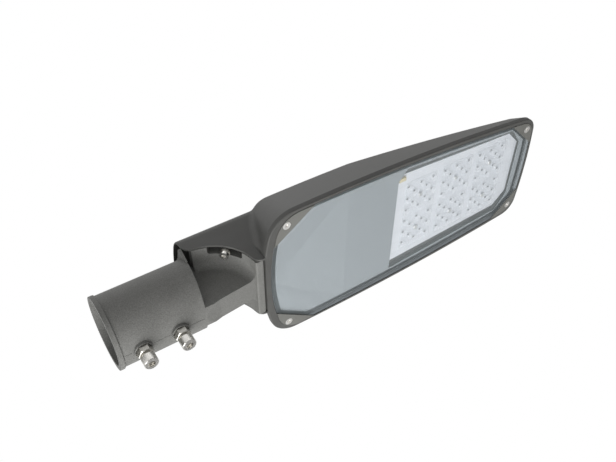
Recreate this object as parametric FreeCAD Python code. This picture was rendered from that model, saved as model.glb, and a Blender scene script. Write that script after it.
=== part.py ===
"""LED street light head on an adjustable pole spigot, in millimetres.

The origin is the centre of the spigot's mouth, +X runs from the pole to the tip of the head and +Z is up.
The glass looks down, towards -Z. The head tilts on the spigot about an axis along Y, the pivot.
"""
import FreeCAD
import Part
import math
import os

Vector = FreeCAD.Vector
X_AXIS = Vector(1, 0, 0)
Y_AXIS = Vector(0, 1, 0)
Z_AXIS = Vector(0, 0, 1)
REACH = 400.0
SINK = 1.0

# Pole socket
POLE_DIAMETER = 60.0
POLE_GAP = 0.5
TUBE_WALL = 3.5
LIP_PROUD = 1.25
LIP_LENGTH = 4.6
SOCKET_DEPTH = 76.0
STOP_LEDGE = 3.5
END_WALL = 6.0
TUBE_END_LOW_X = 83.6
TUBE_END_SLOPE = 0.12

# Pivot and knuckle
PIVOT_X = 91.8
PIVOT_Z = -29.3
TILT_LIMIT = 15.0
FLANGE_IN_R = 46.3
FLANGE_THICK = 8.5
FLANGE_TOP_ANGLE = 84.0
CLAMP_ANGLE = 45.0
CLAMP_INSET = 5.0
NOTCH_MARGIN = 6.0
NOTCH_CORNER_R = 2.6
DUCT_HALF = 12.0
DUCT_WALL = 4.0
DUCT_SLOPE = 0.093
DUCT_FILLET = 7.0
DUCT_NOSE = 16.0
SHOULDER_GAP = 3.8
SHOULDER_FRONT_X = 87.4
SHOULDER_STEP = 1.3
SHOULDER_FLARE = 9.0
SHOULDER_LOW_Z = 7.0

# Neck of the housing
NECK_HALF = 37.3
NECK_CHEEK = 2.0
NECK_SIDE_GAP = 0.3
NECK_TOP_Z = 40.0
NECK_EDGE_R = 11.0
NECK_MOUTH_X = 86.0
MOUTH_BOW_R = 160.0
MOUTH_EDGE_R = 1.2
CHIN_R = 8.5
HEEL_R = 8.0
JUNCTION_R = 8.0
SADDLE_GAP = 0.7
SADDLE_WALL = 5.5
SADDLE_TOP_ANGLE = 66.0
CHEEK_EDGE_GAP = 0.5
NECK_WALL = 4.5
BULKHEAD_X = 161.0
BULKHEAD_THICK = 4.5
NECK_END_X = 186.0

# Clamp screws, M5
CLAMP_R = 2.5
CLAMP_SLOT_GAP = 0.3
CLAMP_SEAT_GAP = 0.05
CLAMP_BOSS_R = 5.0
CLAMP_THREAD_LENGTH = 14.0
CLAMP_HEAD_R = 4.25
CLAMP_HEAD_LENGTH = 3.4
CLAMP_KEY_AF = 4.0
FLAT_WASHER_R = 5.0
FLAT_WASHER_THICK = 0.8
SPRING_WASHER_R = 4.6
SPRING_WASHER_THICK = 1.1
SPRING_WASHER_SPLIT = 0.9

# Set screws, M8, under the tube
SET_SCREW_X = (22.0, 57.0)
SET_SCREW_R = 4.0
SET_SCREW_TIP_R = 32.6
SET_SCREW_END_R = 52.6
SET_HEAD_LENGTH = 8.0
SET_HEAD_R = 6.5
SET_HEAD_CHAMFER = 0.6
SET_KEY_AF = 6.0
LOCK_NUT_AF = 13.0
LOCK_NUT_THICK = 6.5
LOCK_NUT_CHAMFER = 0.6
LOCK_NUT_CHAMFER_ANGLE = 30.0
SET_BOSS_R = 8.6
SET_BOSS_TOP_R = 35.8
SET_SEAT_DEPTH = 0.8
THREAD_GAP = 0.05

# Head outlines, seen from below: two bowed sides, two bowed ends and four round corners
SIDE_AT_X = 320.0
SIDE_BOW_R = 2300.0
RIM_HALF = 77.8
RIM_BORDER = 4.4
GLASS_HALF = RIM_HALF - RIM_BORDER
GLASS_SIDE_SLOPE = -0.0417
GLASS_BASE_X = 153.2
GLASS_TIP_X = 487.8
GLASS_BASE_CORNER_R = 26.0
GLASS_TIP_CORNER_R = 17.0
RIM_SIDE_SLOPE = -0.036
RIM_BASE_X = 144.6
RIM_TIP_X = 492.1
RIM_BASE_CORNER_R = 30.0
RIM_TIP_CORNER_R = 20.0
BASE_BOW_R = 230.0
TIP_BOW_R = 500.0
LEAST_CORNER_R = 4.0

# Back of the head
RIM_EDGE_R = 1.2
RIM_TOP_Z = -25.0
SIDE_LEAN = 0.56
BASE_LEAN = 0.36
TOP_BASE_CORNER_R = 20.0
TOP_TIP_CORNER_R = 18.0
BACK_TOP_Z = 40.0
BACK_FLAT_FALL = 0.008
KINK_X = 287.0
BACK_SLOPE = 0.26
BACK_EDGE_R = 12.0
SHELL_WALL = 3.2
CAVITY_EDGE_R = 6.0

# Glass, its print and its seal
GLASS_FACE_Z = -29.6
GLASS_THICK = 3.2
RIM_PROUD = 0.4
GLASS_EDGE_GAP = 0.8
GLASS_CORNER_CUT = 4.3
PRINT_THICK = 0.15
PRINT_INSET = 1.5
SEAL_THICK = 2.2
SEAL_WIDTH = 5.0
SEAL_INSET = 1.0
LEDGE_WIDTH = 7.5
WINDOW_BASE_X = 302.5
WINDOW_TIP_X = 474.0
WINDOW_HALF_AT_BASE = 66.0
WINDOW_HALF_AT_TIP = 55.5
WINDOW_TIP_CUT = 19.0
WINDOW_BASE_CUT = 13.0
WINDOW_CUT_SHARE = 0.75

# Corner clips
CLIP_THICK = 1.0
CLIP_SCREW_BASE = (170.6, RIM_HALF - 12.5)
CLIP_SCREW_TIP = (477.2, RIM_HALF - 24.8)
CLIP_EDGE_BASE = ((157.6, RIM_HALF - 32.4), (199.0, RIM_HALF - 3.2))
CLIP_EDGE_TIP = ((486.9, RIM_HALF - 44.4), (452.3, RIM_HALF - 12.2))
CLIP_SCREW_R = 2.0
CLIP_HEAD_R = 4.0
CLIP_HEAD_DEPTH = 2.0
CLIP_SCREW_LENGTH = 11.0
CLIP_KEY_AF = 3.0

# Light engine
BOARD_THICK = 1.6
BOARD_FACE_Z = -22.9
BOARD_BASE_X = 301.0
BOARD_TIP_X = 475.0
BOARD_HALF_AT_BASE = 58.5
BOARD_HALF_AT_TIP = 50.5
BOARD_TIP_CUT = 16.0
BLOCK_FIRST_X = 336.1
BLOCK_PITCH = 49.3
BLOCK_COUNT = 3
LED_COLUMN_PITCH = 8.2
LED_ROW_PITCH = 15.3
LED_ROWS = 6
CHIP_SIDE = 3.0
CHIP_THICK = 0.7
LENS_PLATE_X = 41.0
LENS_PLATE_Y = 91.0
LENS_PLATE_THICK = 1.2
LENS_LIFT = 0.8
LENS_FRAME = 1.2
LENS_FOOT_R = 3.9
LENS_TOP_R = 2.6
LENS_STRETCH = 1.25
LENS_SIDES = 8
LENS_FIRST_ANGLE = 22.5
LENS_HEIGHT = 1.5
LENS_SCREW_R = 1.25
LENS_SCREW_HEAD_R = 2.75
LENS_SCREW_HEAD = 0.9
LENS_SCREW_LENGTH = 6.0
FLOOR_THICK = 4.0

# Cooling fins over the light engine
FIN_BASE_X = 302.0
FIN_TIP_X = 468.0
FIN_COUNT = 8
FIN_PITCH = 9.6
FIN_THICK = 2.6
FIN_FIELD_HALF = 42.0
FIN_CORNER_R = 6.0

# Driver and wiring
DRIVER_GAP = 21.0
DRIVER_LENGTH = 74.0
DRIVER_Y = (-46.0, 30.0)
DRIVER_HEIGHT = 32.0
DRIVER_EDGE_R = 3.0
DRIVER_FOOT = 9.0
DRIVER_FOOT_WIDE = 16.0
DRIVER_FOOT_THICK = 2.5
DRIVER_BITE = 7.0
DRIVER_TOP_Z = 24.0
PAN_TAPER = 0.8
M4_R = 2.0
M4_HEAD_R = 3.6
M4_HEAD = 2.4
POST_R = 4.5
TERMINAL_GAP = 35.0
TERMINAL_LENGTH = 32.0
TERMINAL_Y = (30.5, 41.5)
TERMINAL_HEIGHT = 14.0
TERMINAL_TOP_Z = 24.0
TERMINAL_WAYS = 3
TERMINAL_HOLE_R = 1.8
TERMINAL_WELL = 5.0
TERMINAL_POST_R = 3.0
TERMINAL_BITE = 6.0
M3_R = 1.5
M3_HEAD_R = 2.8
M3_HEAD = 1.8
GLAND_Y = 14.0
GLAND_Z = 10.5
GLAND_THREAD_R = 8.0
GLAND_HEX_AF = 19.0
GLAND_HEX_THICK = 5.0
GLAND_THREAD_IN = 7.0
GLAND_NUT_THICK = 4.0
GLAND_CAP_R = 8.8
GLAND_CAP_LENGTH = 9.0
GLAND_BORE_R = 4.5
GLAND_SEAL_THICK = 1.5

# Values that follow from the ones above
LENS_STACK = BOARD_THICK + LENS_LIFT + LENS_PLATE_THICK
DRIVER_X = (BULKHEAD_X + DRIVER_GAP, BULKHEAD_X + DRIVER_GAP + DRIVER_LENGTH)
TERMINAL_X = (BULKHEAD_X + TERMINAL_GAP, BULKHEAD_X + TERMINAL_GAP + TERMINAL_LENGTH)
BORE_R = POLE_DIAMETER/2 + POLE_GAP
TUBE_R = BORE_R + TUBE_WALL
LIP_R = TUBE_R + LIP_PROUD
FLANGE_OUT_R = FLANGE_IN_R + FLANGE_THICK
CHEEK_IN = NECK_HALF - NECK_CHEEK
FLANGE_HALF = CHEEK_IN - NECK_SIDE_GAP
CLAMP_Y = FLANGE_HALF - CLAMP_INSET
NOTCH_FLOOR_Y = CLAMP_Y - CLAMP_R - CLAMP_SLOT_GAP
SADDLE_R = FLANGE_OUT_R + SADDLE_GAP
SHOULDER_R = TUBE_R - PIVOT_Z + 0.6
CEILING_R = SHOULDER_R + SHOULDER_GAP
CHEEK_EDGE_R = FLANGE_IN_R + CHEEK_EDGE_GAP
DUCT_LOW_Z = -TUBE_R + 2.4
FLOOR_Z = BOARD_FACE_Z + BOARD_THICK
GLASS_IN_Z = GLASS_FACE_Z + GLASS_THICK
LEDGE_Z = GLASS_IN_Z + PRINT_THICK + SEAL_THICK
RIM_FACE_Z = GLASS_FACE_Z - RIM_PROUD
CLIP_FACE_Z = GLASS_FACE_Z - CLIP_THICK


def cylinder(radius, start, axis, length):
    """A cylinder from a start point along an axis."""
    return Part.makeCylinder(radius, length, start, axis)


def block(x_span, y_span, z_span):
    """A box between two corners."""
    low = Vector(x_span[0], y_span[0], z_span[0])
    return Part.makeBox(x_span[1] - x_span[0], y_span[1] - y_span[0], z_span[1] - z_span[0], low)


def prism_xz(points, half):
    """An outline in the XZ plane, as wide as half on each side of the middle plane."""
    corners = [Vector(x, -half, z) for x, z in points]
    face = Part.Face(Part.makePolygon(corners + corners[:1]))
    return face.extrude(Vector(0, 2*half, 0))


def prism_xy(points, low_z, high_z):
    """An outline in the XY plane, from one level to another."""
    corners = [Vector(x, y, low_z) for x, y in points]
    face = Part.Face(Part.makePolygon(corners + corners[:1]))
    return face.extrude(Vector(0, 0, high_z - low_z))


def hex_prism(across_flats, start, axis, length):
    """A hexagonal bar from a start point along an axis."""
    side = across_flats/math.sqrt(3)
    spread = FreeCAD.Rotation(Z_AXIS, axis)
    corners = [start + spread.multVec(Vector(side*math.cos(a), side*math.sin(a), 0))
               for a in (math.radians(60*i) for i in range(6))]
    face = Part.Face(Part.makePolygon(corners + corners[:1]))
    return face.extrude(Vector(axis).normalize()*length)


def at_pivot(radius, angle, y=0.0):
    """The point at a radius and an angle above +X, seen from the pivot."""
    turn = math.radians(angle)
    return Vector(PIVOT_X + radius*math.cos(turn), y, PIVOT_Z + radius*math.sin(turn))


def out_from_pivot(angle):
    """The direction away from the pivot at an angle above +X."""
    turn = math.radians(angle)
    return Vector(math.cos(turn), 0, math.sin(turn))


def ring_sector(inner, outer, low_angle, high_angle, low_y, high_y):
    """A sector of a ring about the pivot."""
    middle = (low_angle + high_angle)/2
    edges = [
        Part.Arc(at_pivot(outer, low_angle, low_y), at_pivot(outer, middle, low_y),
                 at_pivot(outer, high_angle, low_y)).toShape(),
        Part.makeLine(at_pivot(outer, high_angle, low_y), at_pivot(inner, high_angle, low_y)),
        Part.Arc(at_pivot(inner, high_angle, low_y), at_pivot(inner, middle, low_y),
                 at_pivot(inner, low_angle, low_y)).toShape(),
        Part.makeLine(at_pivot(inner, low_angle, low_y), at_pivot(outer, low_angle, low_y)),
    ]
    return Part.Face(Part.Wire(edges)).extrude(Vector(0, high_y - low_y, 0))


def pivot_drum(radius, half):
    """A full cylinder about the pivot."""
    return cylinder(radius, Vector(PIVOT_X, -half, PIVOT_Z), Y_AXIS, 2*half)


def mirrored(shape):
    """The same shape on the other side of the middle plane."""
    return shape.mirror(Vector(0, 0, 0), Y_AXIS)


def merged(shapes):
    """One solid from several that meet."""
    result = shapes[0].fuse(shapes[1:])
    return result.removeSplitter()


def group(shapes):
    """Separate solids in one node."""
    return Part.makeCompound(shapes)


def tube_end_x(z):
    """Where the slanted end of the tube lies at a height."""
    return TUBE_END_LOW_X + TUBE_END_SLOPE*(z + TUBE_R - 3.0)


def before_tube_end(offset, half):
    """The space on the pole's side of the tube's slanted end."""
    low, high = -REACH, REACH
    return prism_xz([(-REACH, low), (tube_end_x(low) + offset, low), (tube_end_x(high) + offset, high),
                     (-REACH, high)], half)


def duct_under_z(x):
    """Height of the duct's underside."""
    return DUCT_LOW_Z + DUCT_SLOPE*(x - TUBE_END_LOW_X)


def slot_angles():
    """The span of angles that the clamp screws need in the flange."""
    spread = TILT_LIMIT + NOTCH_MARGIN
    return CLAMP_ANGLE - spread, CLAMP_ANGLE + spread


def make_spigot():
    """The cast spigot: tube, lip, slanted end wall, cable duct and curved clamping flange."""
    tube = cylinder(TUBE_R, Vector(0, 0, 0), X_AXIS, tube_end_x(TUBE_R) + SINK)
    lip = cylinder(LIP_R, Vector(0, 0, 0), X_AXIS, LIP_LENGTH)
    lip = lip.makeFillet(LIP_PROUD*0.8, [e for e in lip.Edges if is_circle_at(e, LIP_LENGTH)])
    bosses = [cylinder(SET_BOSS_R, Vector(x, 0, -BORE_R - SINK), -Z_AXIS, SET_BOSS_TOP_R - BORE_R - SINK)
              for x in SET_SCREW_X]
    body = tube.common(before_tube_end(0, REACH))
    over = block((PIVOT_X, REACH), (-REACH, REACH), (PIVOT_Z, REACH)).cut(pivot_drum(SHOULDER_R, REACH))
    body = body.cut(over)
    flange = ring_sector(FLANGE_IN_R, FLANGE_OUT_R, 0, FLANGE_TOP_ANGLE, -FLANGE_HALF, FLANGE_HALF)
    flange = flange.makeFillet(2.0, [e for e in flange.Edges if is_low_end_edge(e)])
    duct_x = PIVOT_X + FLANGE_OUT_R
    duct = prism_xz([(TUBE_END_LOW_X - END_WALL, duct_under_z(TUBE_END_LOW_X - END_WALL)),
                     (duct_x, duct_under_z(duct_x)), (duct_x, TUBE_R), (TUBE_END_LOW_X - END_WALL, TUBE_R)],
                    DUCT_HALF)
    duct = duct.common(pivot_drum(FLANGE_IN_R + FLANGE_THICK/2, REACH))
    duct = duct.cut(before_tube_end(-SINK, REACH))
    solid = merged([body, lip] + bosses + [flange, duct, duct_nose(), shoulder_plate()])
    solid = fillet_where(solid, DUCT_FILLET, is_duct_root)
    bore = cylinder(BORE_R, Vector(-SINK, 0, 0), X_AXIS, SOCKET_DEPTH + SINK)
    beyond = cylinder(BORE_R - STOP_LEDGE, Vector(0, 0, 0), X_AXIS, REACH)
    beyond = beyond.common(before_tube_end(-END_WALL, REACH))
    inner_half = DUCT_HALF - DUCT_WALL
    cable_way = prism_xz([(SOCKET_DEPTH, duct_under_z(SOCKET_DEPTH) + DUCT_WALL),
                          (duct_x, duct_under_z(duct_x) + DUCT_WALL), (duct_x, 0),
                          (SOCKET_DEPTH, 0)], inner_half)
    cable_way = cable_way.common(pivot_drum(FLANGE_IN_R, REACH))
    window_low, window_high = slot_angles()
    window = ring_sector(FLANGE_IN_R - 2*SINK, FLANGE_OUT_R + SINK, window_low - 8, window_low + 22,
                         -inner_half, inner_half)
    solid = solid.cut([bore, beyond, cable_way, window])
    notch = ring_sector(FLANGE_IN_R - 2*SINK, FLANGE_OUT_R + 2*SINK, window_low, window_high,
                        NOTCH_FLOOR_Y, FLANGE_HALF + SINK)
    notch = fillet_where(notch, NOTCH_CORNER_R, is_notch_corner)
    solid = solid.cut([notch, mirrored(notch)])
    for x in SET_SCREW_X:
        seat = cylinder(LOCK_NUT_AF/math.sqrt(3) + THREAD_GAP*4, Vector(x, 0, -SET_BOSS_TOP_R - SINK), Z_AXIS,
                        SINK + SET_SEAT_DEPTH)
        hole = cylinder(SET_SCREW_R + THREAD_GAP, Vector(x, 0, -LIP_R - SINK), Z_AXIS, LIP_R)
        solid = solid.cut([seat, hole])
    return solid


def duct_nose():
    """The short ramp on which the tube's round underside runs out into the duct's flat one."""
    start_x = TUBE_END_LOW_X - SINK
    end_x = TUBE_END_LOW_X + DUCT_NOSE
    round_part = cylinder(TUBE_R, Vector(start_x, 0, 0), X_AXIS, end_x - start_x)
    ramp = prism_xz([(start_x, -TUBE_R), (TUBE_END_LOW_X, -TUBE_R), (end_x, duct_under_z(end_x)),
                     (end_x, duct_under_z(end_x) + DUCT_WALL), (start_x, duct_under_z(start_x) + DUCT_WALL)],
                    DUCT_HALF)
    return round_part.common(ramp)


def shoulder_plate():
    """The plate at the tube's end that widens the tube to the flange's upper corners."""
    left = [(SHOULDER_FRONT_X, FLANGE_HALF), (SHOULDER_FRONT_X - SHOULDER_STEP, FLANGE_HALF - SHOULDER_FLARE),
            (SHOULDER_FRONT_X - 4*SHOULDER_STEP, FLANGE_HALF - 1.6*SHOULDER_FLARE)]
    right = [(x, -y) for x, y in reversed(left)]
    plate = prism_xy([(PIVOT_X, FLANGE_HALF)] + left + right + [(PIVOT_X, -FLANGE_HALF)],
                     SHOULDER_LOW_Z, PIVOT_Z + FLANGE_OUT_R)
    return plate.common(before_tube_end(0, REACH)).common(pivot_drum(FLANGE_OUT_R, REACH))


def is_notch_corner(edge):
    """True for the notch's two inner corners, which run away from the pivot."""
    box = edge.BoundBox
    return box.YLength < 1e-3 and abs(box.YMin - NOTCH_FLOOR_Y) < 1e-3 and isinstance(edge.Curve, Part.Line)


def is_circle_at(edge, x):
    """True for a round edge across the tube at one place along it."""
    return isinstance(edge.Curve, Part.Circle) and abs(edge.CenterOfMass.x - x) < 1e-6


def is_low_end_edge(edge):
    """True for the two long edges at the flange's lower end."""
    box = edge.BoundBox
    return box.ZMax < PIVOT_Z + 1e-3 and box.YLength > FLANGE_HALF


def is_duct_root(edge):
    """True for the curved edges where the duct's sides meet the flange's hollow face."""
    curve = edge.Curve
    if not isinstance(curve, Part.Circle):
        return False
    centred = abs(curve.Center.x - PIVOT_X) < 1e-3 and abs(curve.Center.z - PIVOT_Z) < 1e-3
    return centred and abs(curve.Radius - FLANGE_IN_R) < 1e-3 and abs(abs(curve.Center.y) - DUCT_HALF) < 1e-3


def fillet_where(solid, radius, test):
    """The solid with the edges that pass a test rounded."""
    edges = [e for e in solid.Edges if test(e)]
    return solid.makeFillet(radius, edges)


class Outline:
    """The sizes of one outline of the head, all measured in its own plane."""

    def __init__(self, half, slope, base_x, tip_x, base_corner, tip_corner):
        self.half = half
        self.slope = slope
        self.base_x = base_x
        self.tip_x = tip_x
        self.base_corner = base_corner
        self.tip_corner = tip_corner

    def side_centre(self):
        """The centre of the arc that is the side on the left."""
        length = math.hypot(1, self.slope)
        return SIDE_AT_X + SIDE_BOW_R*self.slope/length, self.half - SIDE_BOW_R/length

    def wire(self, z, offset=0.0):
        """The closed outline at a level, moved out by an offset."""
        side = self.side_centre()
        side_r = SIDE_BOW_R + offset
        corners = []
        for sign, end_x, bow, corner in ((-1, self.base_x, BASE_BOW_R, self.base_corner),
                                         (1, self.tip_x, TIP_BOW_R, self.tip_corner)):
            bow_r = bow + offset
            end = (end_x - sign*bow, 0.0)
            radius = max(corner + offset, LEAST_CORNER_R)
            centre = meeting_point(side, side_r - radius, end, bow_r - radius)
            on_end = beyond(end, centre, bow_r)
            on_side = beyond(side, centre, side_r)
            halfway = ((on_end[0] + on_side[0])/2, (on_end[1] + on_side[1])/2)
            corners.append((on_end, beyond(centre, halfway, radius), on_side, (end[0] + sign*bow_r, 0.0)))
        base, tip = corners
        waist = ((base[2][0] + tip[2][0])/2, 0.0)
        waist = (waist[0], side[1] + math.sqrt(side_r**2 - (waist[0] - side[0])**2))
        stations = [base[3], base[0], base[1], base[2], waist, tip[2], tip[1], tip[0], tip[3]]
        left = [Vector(x, y, z) for x, y in stations]
        right = [Vector(x, -y, z) for x, y in stations]
        return Part.Wire([
            Part.Arc(right[1], left[0], left[1]).toShape(),
            Part.Arc(left[1], left[2], left[3]).toShape(),
            Part.Arc(left[3], left[4], left[5]).toShape(),
            Part.Arc(left[5], left[6], left[7]).toShape(),
            Part.Arc(left[7], left[8], right[7]).toShape(),
            Part.Arc(right[7], right[6], right[5]).toShape(),
            Part.Arc(right[5], right[4], right[3]).toShape(),
            Part.Arc(right[3], right[2], right[1]).toShape(),
        ])

    def prism(self, low_z, high_z, offset=0.0):
        """The outline as a straight prism."""
        return Part.Face(self.wire(low_z, offset)).extrude(Vector(0, 0, high_z - low_z))

    def risen(self, height):
        """The outline of the leaning body at a height over the rim's upper edge."""
        share = height/(BACK_TOP_Z - RIM_TOP_Z)
        return Outline(self.half - SIDE_LEAN*height, self.slope, self.base_x + BASE_LEAN*height,
                       self.tip_x - SIDE_LEAN*height,
                       self.base_corner + share*(TOP_BASE_CORNER_R - self.base_corner),
                       self.tip_corner + share*(TOP_TIP_CORNER_R - self.tip_corner))


def meeting_point(first, first_r, second, second_r):
    """The upper crossing of two circles."""
    dx = second[0] - first[0]
    dy = second[1] - first[1]
    apart = math.hypot(dx, dy)
    along = (first_r**2 - second_r**2 + apart**2)/(2*apart)
    off = math.sqrt(first_r**2 - along**2)
    middle = (first[0] + along*dx/apart, first[1] + along*dy/apart)
    places = [(middle[0] + side*off*dy/apart, middle[1] - side*off*dx/apart) for side in (-1, 1)]
    return max(places, key=lambda place: place[1])


def beyond(start, through, distance):
    """The point at a distance from a start point, on the line through another point."""
    dx = through[0] - start[0]
    dy = through[1] - start[1]
    length = math.hypot(dx, dy)
    return start[0] + distance*dx/length, start[1] + distance*dy/length


GLASS = Outline(GLASS_HALF, GLASS_SIDE_SLOPE, GLASS_BASE_X, GLASS_TIP_X, GLASS_BASE_CORNER_R, GLASS_TIP_CORNER_R)
RIM = Outline(RIM_HALF, RIM_SIDE_SLOPE, RIM_BASE_X, RIM_TIP_X, RIM_BASE_CORNER_R, RIM_TIP_CORNER_R)


def back_z(x):
    """Height of the back over a place along the head."""
    flat = BACK_TOP_Z - BACK_FLAT_FALL*(min(x, KINK_X) - BULKHEAD_X)
    return flat - BACK_SLOPE*max(0.0, x - KINK_X)


def under_back(drop):
    """The space under the back's flat and sloped planes, lowered by a wall's thickness."""
    ends = (0.0, KINK_X, 2*REACH)
    roof = [(x, back_z(x) - drop) for x in ends]
    return prism_xz([(ends[0], -REACH)] + roof + [(ends[-1], -REACH)], REACH)


def leaning_body(wall, round_r):
    """The body above the rim inside a wall's thickness: leaning sides, the back's planes, round shoulders."""
    inset = -wall*math.hypot(1, SIDE_LEAN)
    top_height = BACK_TOP_Z - RIM_TOP_Z + 4.0
    low = RIM.wire(RIM_TOP_Z, inset)
    high = RIM.risen(top_height).wire(RIM_TOP_Z + top_height, inset)
    body = Part.makeLoft([low, high], True, True)
    body = body.common(under_back(wall))
    return fillet_where(body, round_r, lambda edge: is_shoulder(edge, wall))


def is_shoulder(edge, drop):
    """True for the edges round the back's planes."""
    points = [edge.valueAt(edge.FirstParameter + t*(edge.LastParameter - edge.FirstParameter))
              for t in (0.1, 0.5, 0.9)]
    on_back = all(abs(p.z - (back_z(p.x) - drop)) < 1e-3 for p in points)
    inside = edge.BoundBox.YLength > 1.5*abs(points[1].y) and abs(points[1].x - KINK_X) < 1e-3
    return on_back and not inside


def rounded_top(half, top_z, round_r):
    """A bar along the neck whose two upper edges are round."""
    bar = block((NECK_MOUTH_X, NECK_END_X), (-half, half), (RIM_FACE_Z, top_z))
    return fillet_where(bar, round_r, lambda edge: edge.BoundBox.XLength > 50 and edge.BoundBox.ZMin > top_z - 1e-3)


def make_neck():
    """The hood over the knuckle, before its hollows."""
    neck = rounded_top(NECK_HALF, NECK_TOP_Z, NECK_EDGE_R)
    neck = neck.cut(pivot_drum(CHEEK_EDGE_R, REACH))
    neck = neck.cut(block((0, PIVOT_X), (-REACH, REACH), (-REACH, PIVOT_Z + CHEEK_EDGE_R)))
    neck = neck.cut(block((PIVOT_X, PIVOT_X + CHEEK_EDGE_R), (-REACH, REACH), (-REACH, PIVOT_Z)))
    side_x = NECK_MOUTH_X + MOUTH_BOW_R - math.sqrt(MOUTH_BOW_R**2 - NECK_HALF**2)
    neck = neck.cut([chin_cut(side_x), heel_cut()])
    bow = cylinder(MOUTH_BOW_R, Vector(NECK_MOUTH_X + MOUTH_BOW_R, 0, -REACH), Z_AXIS, 2*REACH)
    neck = neck.common(bow)
    return fillet_where(neck, MOUTH_EDGE_R, is_mouth_edge)


def chin_cut(side_x):
    """What rounds the cheeks between the mouth and their hollow edge."""
    centre_x = side_x + CHIN_R
    centre_z = PIVOT_Z + math.sqrt((CHEEK_EDGE_R + CHIN_R)**2 - (centre_x - PIVOT_X)**2)
    touch = beyond((PIVOT_X, PIVOT_Z), (centre_x, centre_z), CHEEK_EDGE_R)
    corner = block((0, touch[0]), (-REACH, REACH), (PIVOT_Z, centre_z))
    return corner.cut(cylinder(CHIN_R, Vector(centre_x, -REACH, centre_z), Y_AXIS, 2*REACH))


def heel_cut():
    """What rounds the cheeks between their hollow edge and their lower end."""
    centre_z = RIM_FACE_Z + HEEL_R
    centre_x = PIVOT_X + math.sqrt((CHEEK_EDGE_R + HEEL_R)**2 - (centre_z - PIVOT_Z)**2)
    touch = beyond((PIVOT_X, PIVOT_Z), (centre_x, centre_z), CHEEK_EDGE_R)
    corner = block((PIVOT_X, centre_x), (-REACH, REACH), (RIM_FACE_Z - SINK, touch[1]))
    return corner.cut(cylinder(HEEL_R, Vector(centre_x, -REACH, centre_z), Y_AXIS, 2*REACH))


def is_mouth_edge(edge):
    """True for the edges round the neck's bowed mouth, above the chin."""
    axis_x = NECK_MOUTH_X + MOUTH_BOW_R
    points = [edge.valueAt(edge.FirstParameter + t*(edge.LastParameter - edge.FirstParameter))
              for t in (0.1, 0.5, 0.9)]
    on_bow = all(abs(math.hypot(p.x - axis_x, p.y) - MOUTH_BOW_R) < 1e-3 for p in points)
    return on_bow and points[1].z > PIVOT_Z + CHEEK_EDGE_R + CHIN_R/2


def neck_hollow():
    """What is cut out of the neck for the spigot's flange, its shoulder and the cable."""
    flange_room = ring_sector(CHEEK_EDGE_R - SINK, SADDLE_R, -SINK, 100, -CHEEK_IN, CHEEK_IN)
    shoulder_room = ring_sector(SADDLE_R - SINK, CEILING_R, SADDLE_TOP_ANGLE, 100, -CHEEK_IN, CHEEK_IN)
    shoulder_room = shoulder_room.common(rounded_top(CHEEK_IN, PIVOT_Z + CEILING_R, NECK_EDGE_R - NECK_CHEEK))
    core_half = CHEEK_IN - NECK_WALL + NECK_CHEEK
    wall_x = at_pivot(CEILING_R, SADDLE_TOP_ANGLE).x + NECK_WALL
    core = block((wall_x, BULKHEAD_X), (-core_half, core_half), (PIVOT_Z + NECK_WALL, NECK_TOP_Z - NECK_WALL))
    core = core.cut(pivot_drum(SADDLE_R + SADDLE_WALL, REACH))
    low, high = slot_angles()
    inner_half = DUCT_HALF - DUCT_WALL
    window = ring_sector(SADDLE_R - SINK, SADDLE_R + SADDLE_WALL + SINK, low, low + 22, -inner_half, inner_half)
    return [flange_room, shoulder_room, core, window]


def clamp_places():
    """The two clamp screws' places across the neck."""
    return (-CLAMP_Y, CLAMP_Y)


def clamp_seat_r():
    """Distance from the pivot to the plane on which a flat washer rests in the hollow flange."""
    return math.sqrt(FLANGE_IN_R**2 - FLAT_WASHER_R**2) - CLAMP_SEAT_GAP


def clamp_cylinder(radius, start_r, end_r, y):
    """A cylinder along a clamp screw's axis between two distances from the pivot."""
    return cylinder(radius, at_pivot(start_r, CLAMP_ANGLE, y), out_from_pivot(CLAMP_ANGLE), end_r - start_r)


def driver_posts():
    """The places of the driver's two fixing screws."""
    middle = sum(DRIVER_Y)/2
    return [(DRIVER_X[0] - DRIVER_FOOT/2, middle), (DRIVER_X[1] + DRIVER_FOOT/2, middle)]


def terminal_posts():
    """The places of the terminal block's two fixing screws, between its ways."""
    pitch = (TERMINAL_X[1] - TERMINAL_X[0])/TERMINAL_WAYS
    middle = sum(TERMINAL_Y)/2
    return [(TERMINAL_X[0] + pitch, middle), (TERMINAL_X[1] - pitch, middle)]


def window_points(inset):
    """The clear window's outline in the print, drawn in by an inset."""
    half_base = WINDOW_HALF_AT_BASE - inset
    half_tip = WINDOW_HALF_AT_TIP - inset
    base_x = WINDOW_BASE_X + inset
    tip_x = WINDOW_TIP_X - inset
    cut_x = WINDOW_TIP_CUT*WINDOW_CUT_SHARE
    return [(base_x, half_base), (tip_x - cut_x, half_tip), (tip_x, half_tip - WINDOW_TIP_CUT),
            (tip_x, -half_tip + WINDOW_TIP_CUT), (tip_x - cut_x, -half_tip),
            (base_x + WINDOW_BASE_CUT*WINDOW_CUT_SHARE, -half_base), (base_x, -half_base + WINDOW_BASE_CUT)]


def board_points():
    """The light board's outline."""
    cut_x = BOARD_TIP_CUT
    return [(BOARD_BASE_X, BOARD_HALF_AT_BASE), (BOARD_TIP_X - cut_x, BOARD_HALF_AT_TIP),
            (BOARD_TIP_X, BOARD_HALF_AT_TIP - BOARD_TIP_CUT), (BOARD_TIP_X, -BOARD_HALF_AT_TIP + BOARD_TIP_CUT),
            (BOARD_TIP_X - cut_x, -BOARD_HALF_AT_TIP), (BOARD_BASE_X, -BOARD_HALF_AT_BASE)]


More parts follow.
